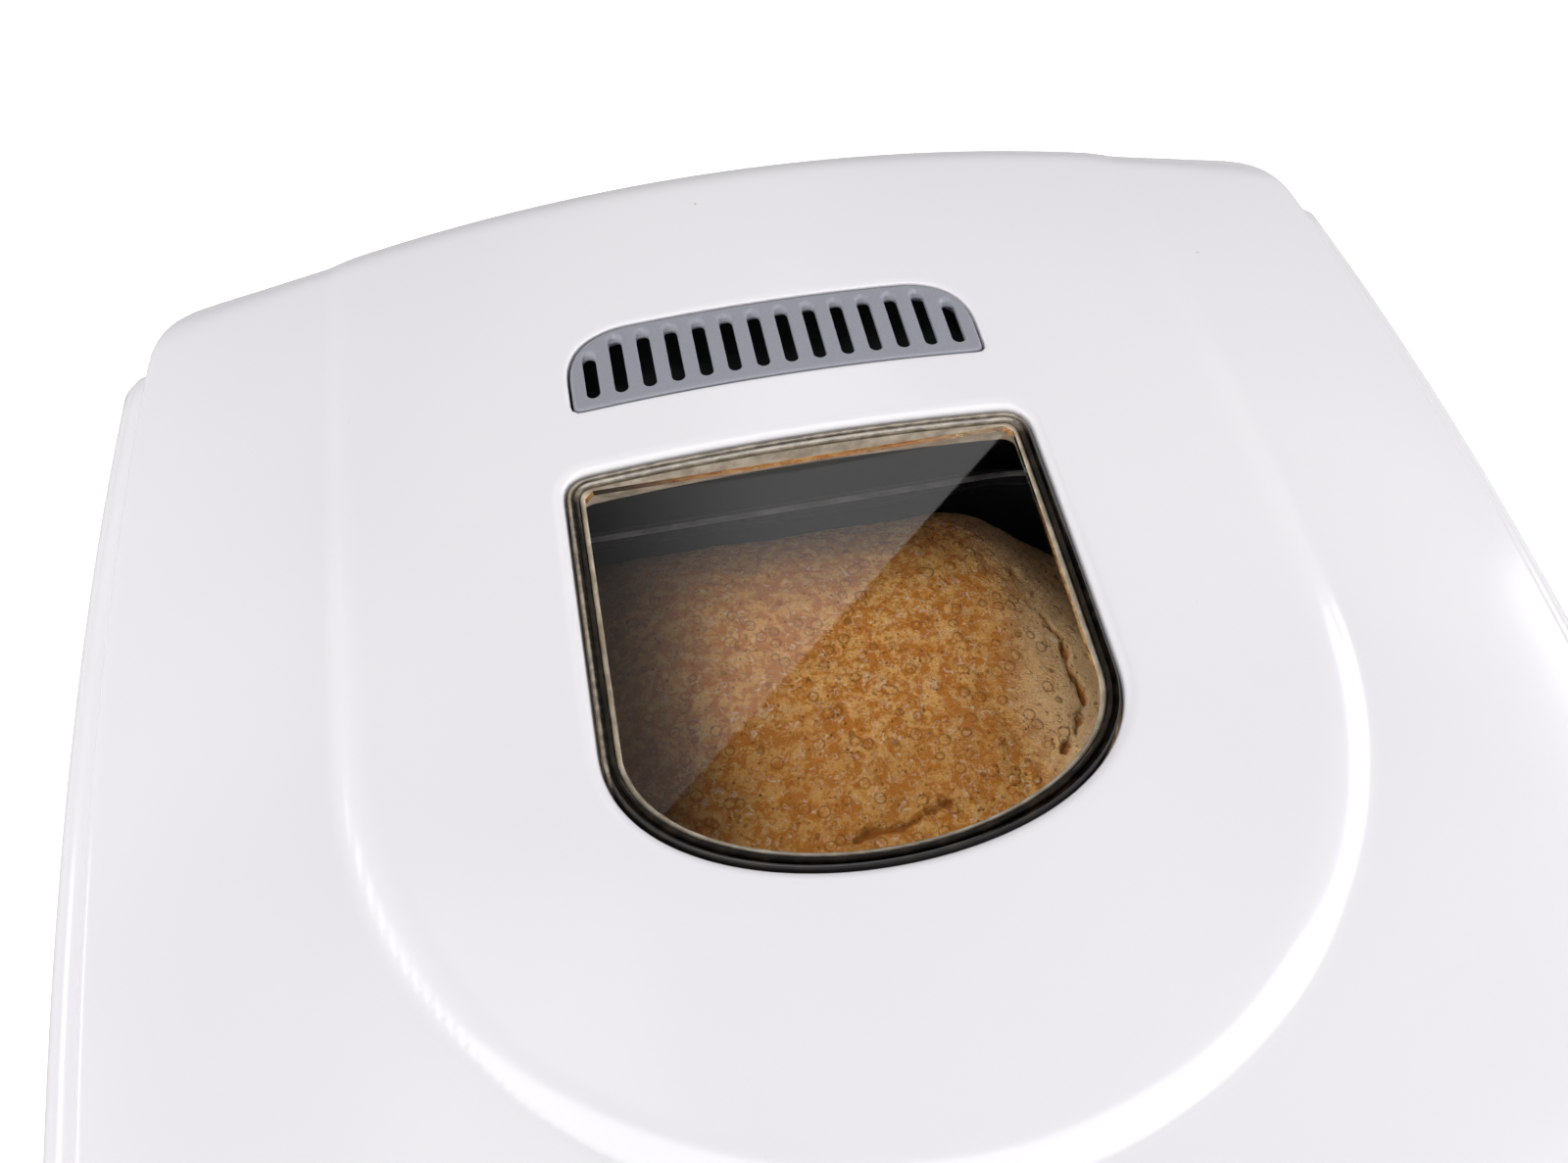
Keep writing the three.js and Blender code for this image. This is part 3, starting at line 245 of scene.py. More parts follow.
def vent_outline():
    w, front, rear, r = VENT_HALF, VENT_FRONT_Y, VENT_REAR_Y, 11
    path = Path(w, front + 2).line(w, rear - r)
    path.curve((w - 0.5, rear - 1), (w - r, rear)).line(-w + r, rear)
    path.curve((-w + 0.5, rear - 1), (-w, rear - r)).line(-w, front + 2)
    path.curve((-w, front), (-w + 2, front)).line(w - 2, front)
    return path.curve((w, front), (w, front + 2)).done()


def distance_to(path):
    """The signed distance to a closed outline, positive inside it, as a function of x and y."""
    a = np.asarray(path)
    b = np.roll(a, -1, axis=0)
    run = b - a
    length2 = np.maximum((run**2).sum(1), 1e-12)

    def at(x, y):
        flat = np.column_stack([np.ravel(x), np.ravel(y)])
        best = np.full(len(flat), 1e18)
        within = np.zeros(len(flat), bool)
        for p, q, d, l2 in zip(a, b, run, length2):
            t = np.clip(((flat - p) @ d) / l2, 0, 1)
            away = flat - p - t[:, None] * d
            best = np.minimum(best, (away**2).sum(1))
            if p[1] != q[1]:
                crosses = (flat[:, 1] > min(p[1], q[1])) & (flat[:, 1] <= max(p[1], q[1]))
                x_there = p[0] + (flat[:, 1] - p[1]) * d[0] / d[1]
                within ^= crosses & (flat[:, 0] < x_there)
        signed = np.sqrt(best) * np.where(within, 1, -1)
        return signed.reshape(np.shape(x))

    return at


# ---- mesh building
def trimmed_grid(inside, area, cell):
    """A grid over area = (x0, x1, y0, y1), trimmed along inside(x, y) = 0: its points, faces and edge loops."""
    x0, x1, y0, y1 = area
    across = np.linspace(x0, x1, round((x1 - x0) / cell) + 1)
    along = np.linspace(y0, y1, round((y1 - y0) / cell) + 1)
    x, y = np.meshgrid(across, along, indexing="ij")
    value = inside(x, y)
    near = np.abs(value) < 0.3 * cell
    step = slope(inside, x[near], y[near])
    size2 = np.maximum((step**2).sum(1), 0.25)
    x[near] -= value[near] * step[:, 0] / size2
    y[near] -= value[near] * step[:, 1] / size2
    value[near] = 0

    points = [np.column_stack([x[value >= 0], y[value >= 0]])]
    corner = np.full(x.shape, -1)
    corner[value >= 0] = np.arange((value >= 0).sum())
    count = len(points[0])
    cuts = []
    for one, other in ((np.s_[:-1, :], np.s_[1:, :]), (np.s_[:, :-1], np.s_[:, 1:])):
        va, vb = value[one], value[other]
        crosses = va * vb < 0
        xa, ya, xb, yb = x[one][crosses], y[one][crosses], x[other][crosses], y[other][crosses]
        t = va[crosses] / (va[crosses] - vb[crosses])
        cut = np.full(va.shape, -1)
        cut[crosses] = count + np.arange(crosses.sum())
        count += crosses.sum()
        points.append(np.column_stack([xa + (xb - xa) * t, ya + (yb - ya) * t]))
        cuts.append(cut)

    faces = []
    used = np.maximum.reduce([value[:-1, :-1], value[1:, :-1], value[1:, 1:], value[:-1, 1:]]) > 0
    for i, j in zip(*np.nonzero(used)):
        ring = ((i, j), (i + 1, j), (i + 1, j + 1), (i, j + 1))
        between = (cuts[0][i, j], cuts[1][i + 1, j], cuts[0][i, j + 1], cuts[1][i, j])
        face = []
        for at, cut in zip(ring, between):
            if corner[at] >= 0:
                face.append(int(corner[at]))
            if cut >= 0:
                face.append(int(cut))
        if len(face) > 2:
            faces.append(face)
    return np.vstack(points), faces, edge_loops(faces)


def edge_loops(faces):
    """The loops of edges that only one face uses, each as a list of point numbers."""
    edges = {(face[k - 1], face[k]) for face in faces for k in range(len(face))}
    following = {a: b for a, b in edges if (b, a) not in edges}
    loops = []
    while following:
        start, at = following.popitem()
        loop = [start]
        while at != start and at in following:
            loop.append(at)
            at = following.pop(at)
        if at == start and len(loop) > 3:
            loops.append(loop)
    return loops


def slope(inside, x, y, step=0.3):
    """The gradient of a distance function, one row a point."""
    return np.column_stack([
        inside(x + step, y) - inside(x - step, y),
        inside(x, y + step) - inside(x, y - step),
    ]) / (2 * step)


def moulded(inside, area, cell, top, bottom, edge):
    """A closed plate between two surfaces, trimmed by inside(x, y).
    edge(x, y) gives the profile of one loop from top to bottom, as (distance outwards, height function) pairs."""
    flat, faces, loops = trimmed_grid(inside, area, cell)
    x, y = flat[:, 0], flat[:, 1]
    points = [np.column_stack([x, y, top(x, y)]), np.column_stack([x, y, bottom(x, y)])]
    under = len(flat)
    count = 2 * under
    faces = faces + [[i + under for i in reversed(face)] for face in faces]
    for loop in loops:
        lx, ly = x[loop], y[loop]
        outward = -slope(inside, lx, ly)
        outward /= np.maximum(np.linalg.norm(outward, axis=1), 1e-9)[:, None]
        previous = list(loop)
        for out, height in edge(lx, ly):
            qx, qy = lx + outward[:, 0] * out, ly + outward[:, 1] * out
            points.append(np.column_stack([qx, qy, height(qx, qy)]))
            ring = list(range(count, count + len(loop)))
            count += len(loop)
            faces += bridged(previous, ring)
            previous = ring
        faces += bridged(previous, [i + under for i in loop])
    return np.vstack(points), faces


def bridged(a, b):
    n = len(a)
    return [[a[(k + 1) % n], a[k], b[k], b[(k + 1) % n]] for k in range(n)]


def rounded(height, r, start=0.0, steps=5):
    """The rings that round a plate's edge over by r."""
    angles = np.linspace(0, math.pi / 2, steps + 1)
    return [
        (start + r * math.sin(a), lambda x, y, drop=r * (1 - math.cos(a)): height(x, y) - drop)
        for a in angles
    ]


def below(height, depth):
    return lambda x, y: height(x, y) - depth


def lofted(rings, closed=False):
    """A skin over rings of equal length, with flat ends unless it closes on itself."""
    rings = [np.asarray(ring, float) for ring in rings]
    n = len(rings[0])
    faces = []
    last = len(rings) if closed else len(rings) - 1
    for k in range(last):
        a = range(k * n, k * n + n)
        low = ((k + 1) % len(rings)) * n
        faces += bridged(list(a), list(range(low, low + n)))
    if not closed:
        faces.append(list(range(n)))
        faces.append(list(range((len(rings) - 1) * n, len(rings) * n))[::-1])
    return np.vstack(rings), faces


def ring_at(path, z):
    """A flat outline as a ring in space, at a height or under a height function."""
    path = np.asarray(path)
    height = z(path[:, 0], path[:, 1]) if callable(z) else np.full(len(path), float(z))
    return np.column_stack([path, height])


def turned(profile, count=48):
    """A profile of (radius, height) points, turned about the Z axis."""
    angle = np.linspace(0, 2 * math.pi, count, endpoint=False)
    return lofted([np.column_stack([r * np.cos(angle), r * np.sin(angle), np.full(count, z)]) for r, z in profile])


def swept(line, r, count=14, closed=False):
    """A round bar along a line of points."""
    line = np.asarray(line, float)
    if closed:
        along = np.roll(line, -1, 0) - np.roll(line, 1, 0)
    else:
        along = np.gradient(line, axis=0)
    along /= np.linalg.norm(along, axis=1)[:, None]
    up = np.tile([0.0, 0.0, 1.0], (len(line), 1))
    up[np.abs(along[:, 2]) > 0.9] = [0, 1, 0]
    side = np.cross(along, up)
    side /= np.linalg.norm(side, axis=1)[:, None]
    up = np.cross(side, along)
    angle = np.linspace(0, 2 * math.pi, count, endpoint=False)
    rings = [p + r * (np.outer(np.cos(angle), s) + np.outer(np.sin(angle), u)) for p, s, u in zip(line, side, up)]
    return lofted(rings, closed)


def together(*shapes):
    """Several (points, faces) shapes as one."""
    points, faces, count = [], [], 0
    for p, f in shapes:
        points.append(p)
        faces += [[i + count for i in face] for face in f]
        count += len(p)
    return np.vstack(points), faces


def rect(x0, y0, x1, y1):
    return np.array([[x0, y0], [x1, y0], [x1, y1], [x0, y1]])


def slab(path, low, high):
    return lofted([ring_at(path, low), ring_at(path, high)])


def placed(name, data):
    """A new object in the scene."""
    obj = bpy.data.objects.new(name, data)
    bpy.context.scene.collection.objects.link(obj)
    return obj


def mesh_of(name, shape):
    """A mesh in metres from (points, faces) in millimetres, with its faces turned outwards."""
    points, faces = shape
    mesh = bpy.data.meshes.new(name)
    build = bmesh.new()
    corners = [build.verts.new(p) for p in np.asarray(points) * MM]
    for face in faces:
        build.faces.new([corners[i] for i in face])
    bmesh.ops.recalc_face_normals(build, faces=build.faces)
    build.to_mesh(mesh)
    build.free()
    return mesh


def piece(name, shape, body, slot, replaces=(), material=None, sharp=32):
    """A named object that rides on a body, in its slot's own look unless it is given a material."""
    mesh = mesh_of(name, shape)
    mesh.polygons.foreach_set("use_smooth", [True] * len(mesh.polygons))
    mesh.set_sharp_from_angle(angle=math.radians(sharp))
    mesh.materials.append(material or LOOK[slot])
    obj = placed(name, mesh)
    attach(obj, body)
    if replaces:
        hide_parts(*replaces)
    return obj


def cut(obj, boxes):
    """Cuts boxes, each (low corner, high corner) in millimetres, out of a piece."""
    shapes = [slab(rect(low[0], low[1], high[0], high[1]), low[2], high[2]) for low, high in boxes]
    cutter = placed("cutter", mesh_of("cutter", together(*shapes)))
    modifier = obj.modifiers.new("openings", "BOOLEAN")
    modifier.object = cutter
    modifier.solver = "EXACT"
    bpy.context.view_layer.update()
    result = bpy.data.meshes.new_from_object(obj.evaluated_get(bpy.context.evaluated_depsgraph_get()))
    obj.modifiers.clear()
    obj.data = result
    bpy.data.objects.remove(cutter)


# ---- materials
def by_ray(tree, ray, rest, special, surface):
    """Shows one shader to one kind of ray, and another to the rest."""
    mix = tree.nodes.new("ShaderNodeMixShader")
    kind = tree.nodes.new("ShaderNodeLightPath").outputs[ray]
    for socket, value in zip(mix.inputs, (kind, rest.outputs[0], special.outputs[0])):
        tree.links.new(value, socket)
    tree.links.new(mix.outputs[0], surface)


class Finish:
    """A Principled material whose colour, roughness and relief are wired from textures in the frame's own metres."""

    def __init__(self, name, color, roughness, metallic=0.0, **sockets):
        self.material = bpy.data.materials.new(name)
        self.material.use_nodes = True
        self.tree = self.material.node_tree
        self.tree.nodes.clear()
        self.output = self.tree.nodes.new("ShaderNodeOutputMaterial")
        self.shader = self.tree.nodes.new("ShaderNodeBsdfPrincipled")
        self.tree.links.new(self.shader.outputs[0], self.output.inputs["Surface"])
        self.place = self.tree.nodes.new("ShaderNodeTexCoord").outputs["Object"]
        self.set("Base Color", color)
        self.set("Roughness", roughness)
        self.set("Metallic", metallic)
        for socket, value in sockets.items():
            self.set(socket.replace("_", " "), value)

    def wire(self, socket, value):
        """Gives a socket a node's output, a number or a colour."""
        if isinstance(value, bpy.types.NodeSocket):
            self.tree.links.new(value, socket)
        elif socket.type == "RGBA":
            socket.default_value = (*value, 1)
        else:
            socket.default_value = value

    def set(self, socket, value):
        self.wire(self.shader.inputs[socket], value)

    def node(self, kind, **inputs):
        made = self.tree.nodes.new(kind)
        for name, value in inputs.items():
            self.wire(made.inputs[name.replace("_", " ")], value)
        return made

    def noise(self, size_mm, detail=3.0, rough=0.55, stretch=None, distortion=0.0):
        """Soft cloudy noise whose features are about size_mm across, from 0 to 1, stretched by a factor an axis."""
        place = self.place
        if stretch:
            scaled = self.node("ShaderNodeVectorMath", Vector=place)
            scaled.operation = "MULTIPLY"
            scaled.inputs[1].default_value = stretch
            place = scaled.outputs[0]
        made = self.node("ShaderNodeTexNoise", Vector=place, Scale=1 / (size_mm * MM), Detail=detail,
                         Roughness=rough, Distortion=distortion)
        return made.outputs["Fac"]

    def cells(self, size_mm, feature="F1"):
        """Distance from scattered points about size_mm apart, or from the borders between them."""
        made = self.node("ShaderNodeTexVoronoi", Vector=self.place, Scale=1 / (size_mm * MM))
        made.feature = feature
        return made.outputs["Distance"]

    def between(self, value, low, high, start=0.0, end=1.0):
        """value's stretch from start to end, as low to high."""
        made = self.node("ShaderNodeMapRange", Value=value)
        made.interpolation_type = "SMOOTHSTEP"
        for name, number in (("From Min", start), ("From Max", end), ("To Min", low), ("To Max", high)):
            made.inputs[name].default_value = number
        return made.outputs[0]

    def clouds(self, size_mm, detail, start, end):
        """Noise with its contrast raised to the stretch from start to end."""
        return self.between(self.noise(size_mm, detail), 0, 1, start, end)

    def varied_roughness(self, size_mm, detail, low, high):
        self.set("Roughness", self.between(self.noise(size_mm, detail), low, high))

    def math(self, operation, a, b=0.0):
        made = self.tree.nodes.new("ShaderNodeMath")
        made.operation = operation
        for socket, value in zip(made.inputs, (a, b)):
            self.wire(socket, value)
        return made.outputs[0]

    def blend(self, share, a, b):
        """A mix of two colours."""
        made = self.tree.nodes.new("ShaderNodeMix")
        made.data_type = "RGBA"
        for number, value in ((0, share), (6, a), (7, b)):
            self.wire(made.inputs[number], value)
        return made.outputs[2]

    def relief(self, height, depth_mm, strength=1.0):
        """Bumps depth_mm deep."""
        made = self.node("ShaderNodeBump", Height=height, Strength=strength, Distance=depth_mm * MM)
        self.set("Normal", made.outputs[0])


def white_plastic():
    """Glossy moulded plastic, with a faint ripple and sparse specks of dust."""
    white = Finish("white_plastic", (0.775, 0.755, 0.79), 0.16, Specular_IOR_Level=0.5)
    tint = white.clouds(90, 1, 0.35, 0.65)
    base = white.blend(tint, (0.765, 0.742, 0.78), (0.782, 0.765, 0.792))
    dust = white.between(white.cells(13), 1, 0, 0.012, 0.03)
    patchy = white.clouds(45, 1, 0.48, 0.62)
    speck = white.math("MULTIPLY", white.math("MULTIPLY", dust, patchy), 0.55)
    white.set("Base Color", white.blend(speck, base, (0.33, 0.32, 0.33)))
    white.varied_roughness(14, 4, 0.13, 0.2)
    white.relief(white.noise(5, 2), 0.012)
    return white.material


def grey_plastic():
    """Satin grey plastic with a fine spark-eroded grain."""
    grey = Finish("grey_plastic", (0.27, 0.273, 0.312), 0.42, Specular_IOR_Level=0.45)
    grain = grey.noise(0.35, 2)
    share = grey.between(grain, 0, 1, 0.3, 0.7)
    grey.set("Base Color", grey.blend(share, (0.26, 0.264, 0.302), (0.282, 0.286, 0.325)))
    grey.varied_roughness(6, 3, 0.36, 0.48)
    grey.relief(grain, 0.02)
    return grey.material


def dark_plastic():
    """Heat-resistant black plastic with a leathery mould grain."""
    dark = Finish("dark_plastic", (0.022, 0.022, 0.024), 0.5, Specular_IOR_Level=0.4)
    dark.set("Base Color", dark.blend(dark.noise(20, 3), (0.017, 0.017, 0.018), (0.03, 0.03, 0.032)))
    dark.varied_roughness(9, 3, 0.42, 0.6)
    dark.relief(dark.cells(0.8), 0.05)
    return dark.material


def window_ring_finish():
    """Smoke-bronze moulding: black where it is thick, with painted light on its left and rear edges, which are
    coloured tan as if lit through.
    """
    ring = Finish("window_ring", (0.012, 0.008, 0.005), 0.06, Coat_Weight=0.5, Coat_Roughness=0.03)
    place = ring.node("ShaderNodeSeparateXYZ", Vector=ring.place)
    # masks of the painted light along the left and rear edges
    painted_lit_left = ring.between(place.outputs["X"], 1, 0, -(WINDOW_HALF - 1.1) * MM, -(WINDOW_HALF - 1.5) * MM)
    painted_lit_rear = ring.between(place.outputs["Y"], 0, 1, (WINDOW_REAR_Y - 6) * MM, (WINDOW_REAR_Y - 2.2) * MM)
    cloud = ring.between(ring.noise(1.3, 5, stretch=(0.6, 1, 1)), 0, 1, 0.34, 0.68)
    tan = ring.blend(cloud, (0.15, 0.125, 0.095), (0.33, 0.28, 0.215))
    black = ring.blend(ring.clouds(2.5, 3, 0.4, 0.7), (0.004, 0.003, 0.002), (0.02, 0.013, 0.008))
    # painted light: the lit tan on the left and rear edges, black elsewhere
    ring.set("Base Color", ring.blend(ring.math("MAXIMUM", painted_lit_left, painted_lit_rear), black, tan))
    ring.varied_roughness(4, 3, 0.05, 0.13)
    ring.relief(ring.noise(1.5, 3), 0.02, 0.5)
    return ring.material


def bronze_edge():
    """The bronze-tinted edge of the window moulding."""
    edge = Finish("window_edge", (0.46, 0.35, 0.23), 0.12, Transmission_Weight=0.35, IOR=1.49)
    edge.set("Base Color", edge.blend(edge.clouds(3, 4, 0.35, 0.7), (0.33, 0.27, 0.20), (0.56, 0.48, 0.38)))
    edge.varied_roughness(1.5, 3, 0.08, 0.3)
    edge.relief(edge.noise(1.2, 3), 0.04)
    return edge.material


def clear_window(name, bend):
    """Clear moulded plastic with sparse dust, which lamps shine through, and how much it bends light."""
    tint = (0.99, 0.985, 0.975)
    clear = Finish(name, tint, 0.0, Transmission_Weight=1.0, IOR=bend)
    dust = clear.between(clear.cells(7), 1, 0, 0.015, 0.04)
    clear.set("Base Color", clear.blend(dust, tint, (0.55, 0.53, 0.5)))
    by_ray(clear.tree, "Is Shadow Ray", clear.shader, clear.tree.nodes.new("ShaderNodeBsdfTransparent"),
           clear.output.inputs["Surface"])
    return clear.material


def steel():
    """Drawn stainless steel."""
    metal = Finish("steel", (0.56, 0.57, 0.58), 0.28, 1.0)
    drawn = metal.noise(0.6, 3, stretch=(0.06, 1.0, 1.0))
    metal.set("Base Color", metal.blend(metal.noise(15, 3), (0.5, 0.51, 0.52), (0.62, 0.63, 0.635)))
    metal.set("Roughness", metal.between(drawn, 0.2, 0.42, 0.3, 0.7))
    metal.relief(drawn, 0.01)
    return metal.material


def dark_coating():
    """Charcoal non-stick enamel with a fine fleck."""
    coat = Finish("dark_coating", (0.014, 0.014, 0.015), 0.38, Specular_IOR_Level=0.4)
    fleck = coat.between(coat.cells(0.9), 1, 0, 0.1, 0.22)
    cloud = coat.blend(coat.noise(30, 3), (0.009, 0.009, 0.0095), (0.018, 0.018, 0.019))
    coat.set("Base Color", coat.blend(coat.math("MULTIPLY", fleck, 0.25), cloud, (0.09, 0.09, 0.094)))
    coat.varied_roughness(3, 3, 0.3, 0.5)
    coat.relief(coat.noise(0.6, 3), 0.03)
    return coat.material


def worn_rim():
    """The pan's rolled rim, where the coating has rubbed down to grey metal."""
    rim = Finish("worn_rim", (0.36, 0.355, 0.35), 0.36, 0.7)
    rim.set("Base Color", rim.blend(rim.clouds(6, 4, 0.35, 0.7), (0.24, 0.235, 0.23), (0.46, 0.455, 0.45)))
    rim.varied_roughness(1.5, 3, 0.3, 0.5)
    rim.relief(rim.noise(0.8, 3), 0.02)
    return rim.material


def mottled(name, color, roughness, cloud, shades, rough=None, grain=None, **sockets):
    """A plain finish that drifts between two shades; cloud, rough and grain start with a noise's size and detail."""
    made = Finish(name, color, roughness, **sockets)
    made.set("Base Color", made.blend(made.noise(*cloud), *shades))
    if rough:
        made.varied_roughness(*rough)
    if grain:
        made.relief(made.noise(*grain[:2]), grain[2])
    return made.material


def circuit_board():
    """Green lacquered board with paler tracks."""
    board = Finish("board", (0.02, 0.13, 0.06), 0.35)
    track = board.between(board.cells(7, "DISTANCE_TO_EDGE"), 1, 0, 0.03, 0.07)
    board.set("Base Color", board.blend(track, (0.016, 0.11, 0.05), (0.06, 0.26, 0.13)))
    board.relief(track, 0.05)
    return board.material


def crust():
    """Baked crust: golden orange, paler at one end, with painted shade darkening the other, and with ring blisters,
    pores and splits.
    """
    bake = Finish("crust", (0.55, 0.28, 0.09), 0.7, Specular_IOR_Level=0.3)

    def marked(attribute):
        made = bake.node("ShaderNodeAttribute")
        made.attribute_name = attribute
        return made.outputs["Fac"]

    def share(amount, strength):
        return bake.math("MULTIPLY", amount, strength)

    mottle = bake.between(bake.noise(2.4, 9, 0.72, distortion=0.4), 0, 1, 0.45, 0.56)
    base = bake.blend(mottle, (0.56, 0.19, 0.022), (0.80, 0.43, 0.125))
    base = bake.blend(share(bake.clouds(22, 2, 0.4, 0.65), 0.35), base, (0.46, 0.185, 0.035))
    base = bake.blend(share(marked("pale"), 0.66), base, (0.96, 0.69, 0.38))
    toast = bake.between(bake.noise(1.2, 7, 0.75, distortion=0.6), 0, 1, 0.54, 0.60)
    base = bake.blend(share(toast, 0.62), base, (0.34, 0.10, 0.012))
    flour = bake.between(bake.noise(1.7, 8, 0.82, distortion=1.0), 0, 1, 0.555, 0.60)
    base = bake.blend(share(flour, 0.62), base, (0.80, 0.67, 0.50))
    spots = bake.cells(4.2)
    ring = bake.math("MULTIPLY", bake.between(spots, 0, 1, 0.20, 0.25), bake.between(spots, 1, 0, 0.27, 0.32))
    base = bake.blend(share(ring, 0.6), base, (0.26, 0.085, 0.014))
    pore = bake.between(bake.cells(1.9), 1, 0, 0.08, 0.18)
    base = bake.blend(share(pore, 0.6), base, (0.20, 0.06, 0.01))
    base = bake.blend(marked("crack"), base, (0.39, 0.13, 0.018))
    # painted shade: the dark attribute darkens the left end of the crown
    bake.set("Base Color", bake.blend(share(marked("dark"), 0.85), base, (0.09, 0.045, 0.02)))
    blister = bake.between(spots, 1, 0, 0.12, 0.34)
    grain = bake.math("ADD", bake.noise(0.6, 6, 0.75), share(blister, 0.45))
    grain = bake.math("SUBTRACT", grain, share(pore, 0.6))
    bake.relief(grain, 1.3)
    return bake.material


LOOK = {
    "white_plastic": white_plastic(),
    "grey_plastic": grey_plastic(),
    "dark_plastic": dark_plastic(),
    "bronze_clear": window_ring_finish(),
    "clear_window": clear_window("clear_window", 1.46),
    "rubber": mottled("rubber", (0.016, 0.016, 0.017), 0.8, (4, 4), [(0.012, 0.012, 0.013), (0.026, 0.026, 0.027)],
                      grain=(0.4, 3, 0.04), Specular_IOR_Level=0.3),
    "steel": steel(),
    "dark_coating": dark_coating(),
    "aluminium": mottled("aluminium", (0.6, 0.61, 0.62), 0.45, (12, 4), [(0.5, 0.51, 0.52), (0.66, 0.67, 0.68)],
                         (2, 4, 0.36, 0.6), (0.7, 3, 0.06), metallic=1.0),
    "board": circuit_board(),
    "ceramic": mottled("ceramic", (0.78, 0.74, 0.66), 0.55, (3, 4), [(0.72, 0.67, 0.58), (0.83, 0.8, 0.73)],
                       grain=(0.5, 3, 0.05)),
    "brass": mottled("brass", (0.62, 0.44, 0.18), 0.3, (5, 4), [(0.52, 0.36, 0.14), (0.7, 0.52, 0.24)],
                     (1, 3, 0.2, 0.45), metallic=1.0),
    "crust": crust(),
}
WINDOW_EDGE = bronze_edge()
INNER_PANE = clear_window("inner_pane", 1.02)
WORN_RIM = worn_rim()
DISPLAY_FACE = mottled("display_face", (0.30, 0.34, 0.28), 0.35, (12, 2), [(0.28, 0.32, 0.265), (0.33, 0.37, 0.305)])
MARKS = mottled("marks", (0.03, 0.03, 0.035), 0.5, (2, 3), [(0.024, 0.024, 0.028), (0.04, 0.04, 0.046)])


# ---- the lid
WINDOW_FILLET = 2.2
VENT_FILLET = 0.8
RIM_ROUND = 1.3
RIM_INSET = 3.0
NEAR = 5.0  # an edge loop that stays this close to an opening belongs to it
WINDOW_WALL = {"depth": 8.0, "thick": 2.0, "under": 3.4}
VENT_WALL = {"depth": 4.5, "inset": 0.2}


def lid_edge(x, y):
    """The profile of one edge of the lid: its outer rim, the window's opening or the vent's."""
    if np.abs(window_distance(x, y)).max() < NEAR:
        out, foot = WINDOW_FILLET + GAP, below(lid_z, WINDOW_WALL["depth"])
        back = out - WINDOW_WALL["thick"]
        return [*rounded(lid_z, WINDOW_FILLET, GAP, 8), (out, foot), (back, foot),
                (back, below(lid_z, WINDOW_WALL["under"]))]
    if np.abs(vent_distance(x, y)).max() < NEAR:
        foot, inset = below(lid_z, VENT_WALL["depth"]), VENT_WALL["inset"]
        return [*rounded(lid_z, VENT_FILLET, GAP, 4), (VENT_FILLET + GAP, foot), (inset, foot),
                (inset, below(lid_z, WALL))]
    skirt = lambda x, y: np.minimum(skirt_z(y), lid_z(x, y) - RIM_ROUND - 1)
    return [(RIM_INSET - RIM_ROUND - 0.6, lid_z), *rounded(lid_z, RIM_ROUND, RIM_INSET - RIM_ROUND),
            (RIM_INSET, lambda x, y: skirt(x, y) + 0.5), (RIM_INSET - 0.5, skirt), (GAP, skirt),
            (GAP, below(lid_z, WALL))]


rim_distance = distance_to(outline(0, front=LID_FRONT_Y))
window_distance = distance_to(window_outline(0))
vent_distance = distance_to(vent_outline())


def lid_inside(x, y):
    return np.minimum.reduce([
        rim_distance(x, y) - RIM_INSET,
        -window_distance(x, y) - WINDOW_FILLET - GAP,
        -vent_distance(x, y) - VENT_FILLET - GAP,
    ])


def lid_lip():
    """The lifting lip on the front edge."""
    y = LID_FRONT_Y - 2
    inside = distance_to(round_rect(22, 3, 2, 0, y))
    edge_round, thick = 1.0, 3
    profile = [*rounded(lid_z, edge_round, 0, 4), (edge_round, below(lid_z, 2.2)), (0.2, below(lid_z, thick))]
    return moulded(lambda px, py: inside(px, py) - edge_round, (-23, 23, y - 4, y + 4), 1.0, lid_z,
                   below(lid_z, thick), lambda lx, ly: profile)


def lid_knuckles():
    """The lid's two hinge knuckles, with the webs that carry them."""
    shapes = []
    half, bore, outside = 6, 2.1, 4.2
    angle = np.linspace(0, 2 * math.pi, 32, endpoint=False)
    for side in ("left", "right"):
        x, y, z = centre_mm(f"hinge_pin_{side}")
        rings = [np.column_stack([np.full(32, x + dx), y + r * np.cos(angle), z + r * np.sin(angle)])
                 for dx, r in ((-half, bore), (-half, outside), (half, outside), (half, bore))]
        shapes.append(lofted(rings, closed=True))
        shapes.append(slab(rect(x - half, LID_REAR_Y - 2, x + half, y), z + 1, z + outside - 0.1))
    return together(*shapes)


def make_lid():
    area = (-HALF_WIDTH - 1, HALF_WIDTH + 1, LID_FRONT_Y - 1, LID_REAR_Y + 1)
    shell = moulded(lid_inside, area, 1.5, lid_z, below(lid_z, WALL), lid_edge)
    piece("lid_cover", together(shell, lid_lip(), lid_knuckles()), "lid", "white_plastic", ["lid_shell"])


# ---- the window
PANE_TILT = (panel_z(0, WINDOW_REAR_Y) - panel_z(0, WINDOW_FRONT_Y)) / (WINDOW_REAR_Y - WINDOW_FRONT_Y)
PANE_MIDDLE_Y = (WINDOW_REAR_Y + WINDOW_FRONT_Y) / 2
PANE_MIDDLE_Z = panel_z(0, PANE_MIDDLE_Y) - 4.4
RING_WIDTH = 2.0


def pane_z(x, y):
    """The flat face of the window pane."""
    return PANE_MIDDLE_Z + PANE_TILT * (y - PANE_MIDDLE_Y) + 0 * x


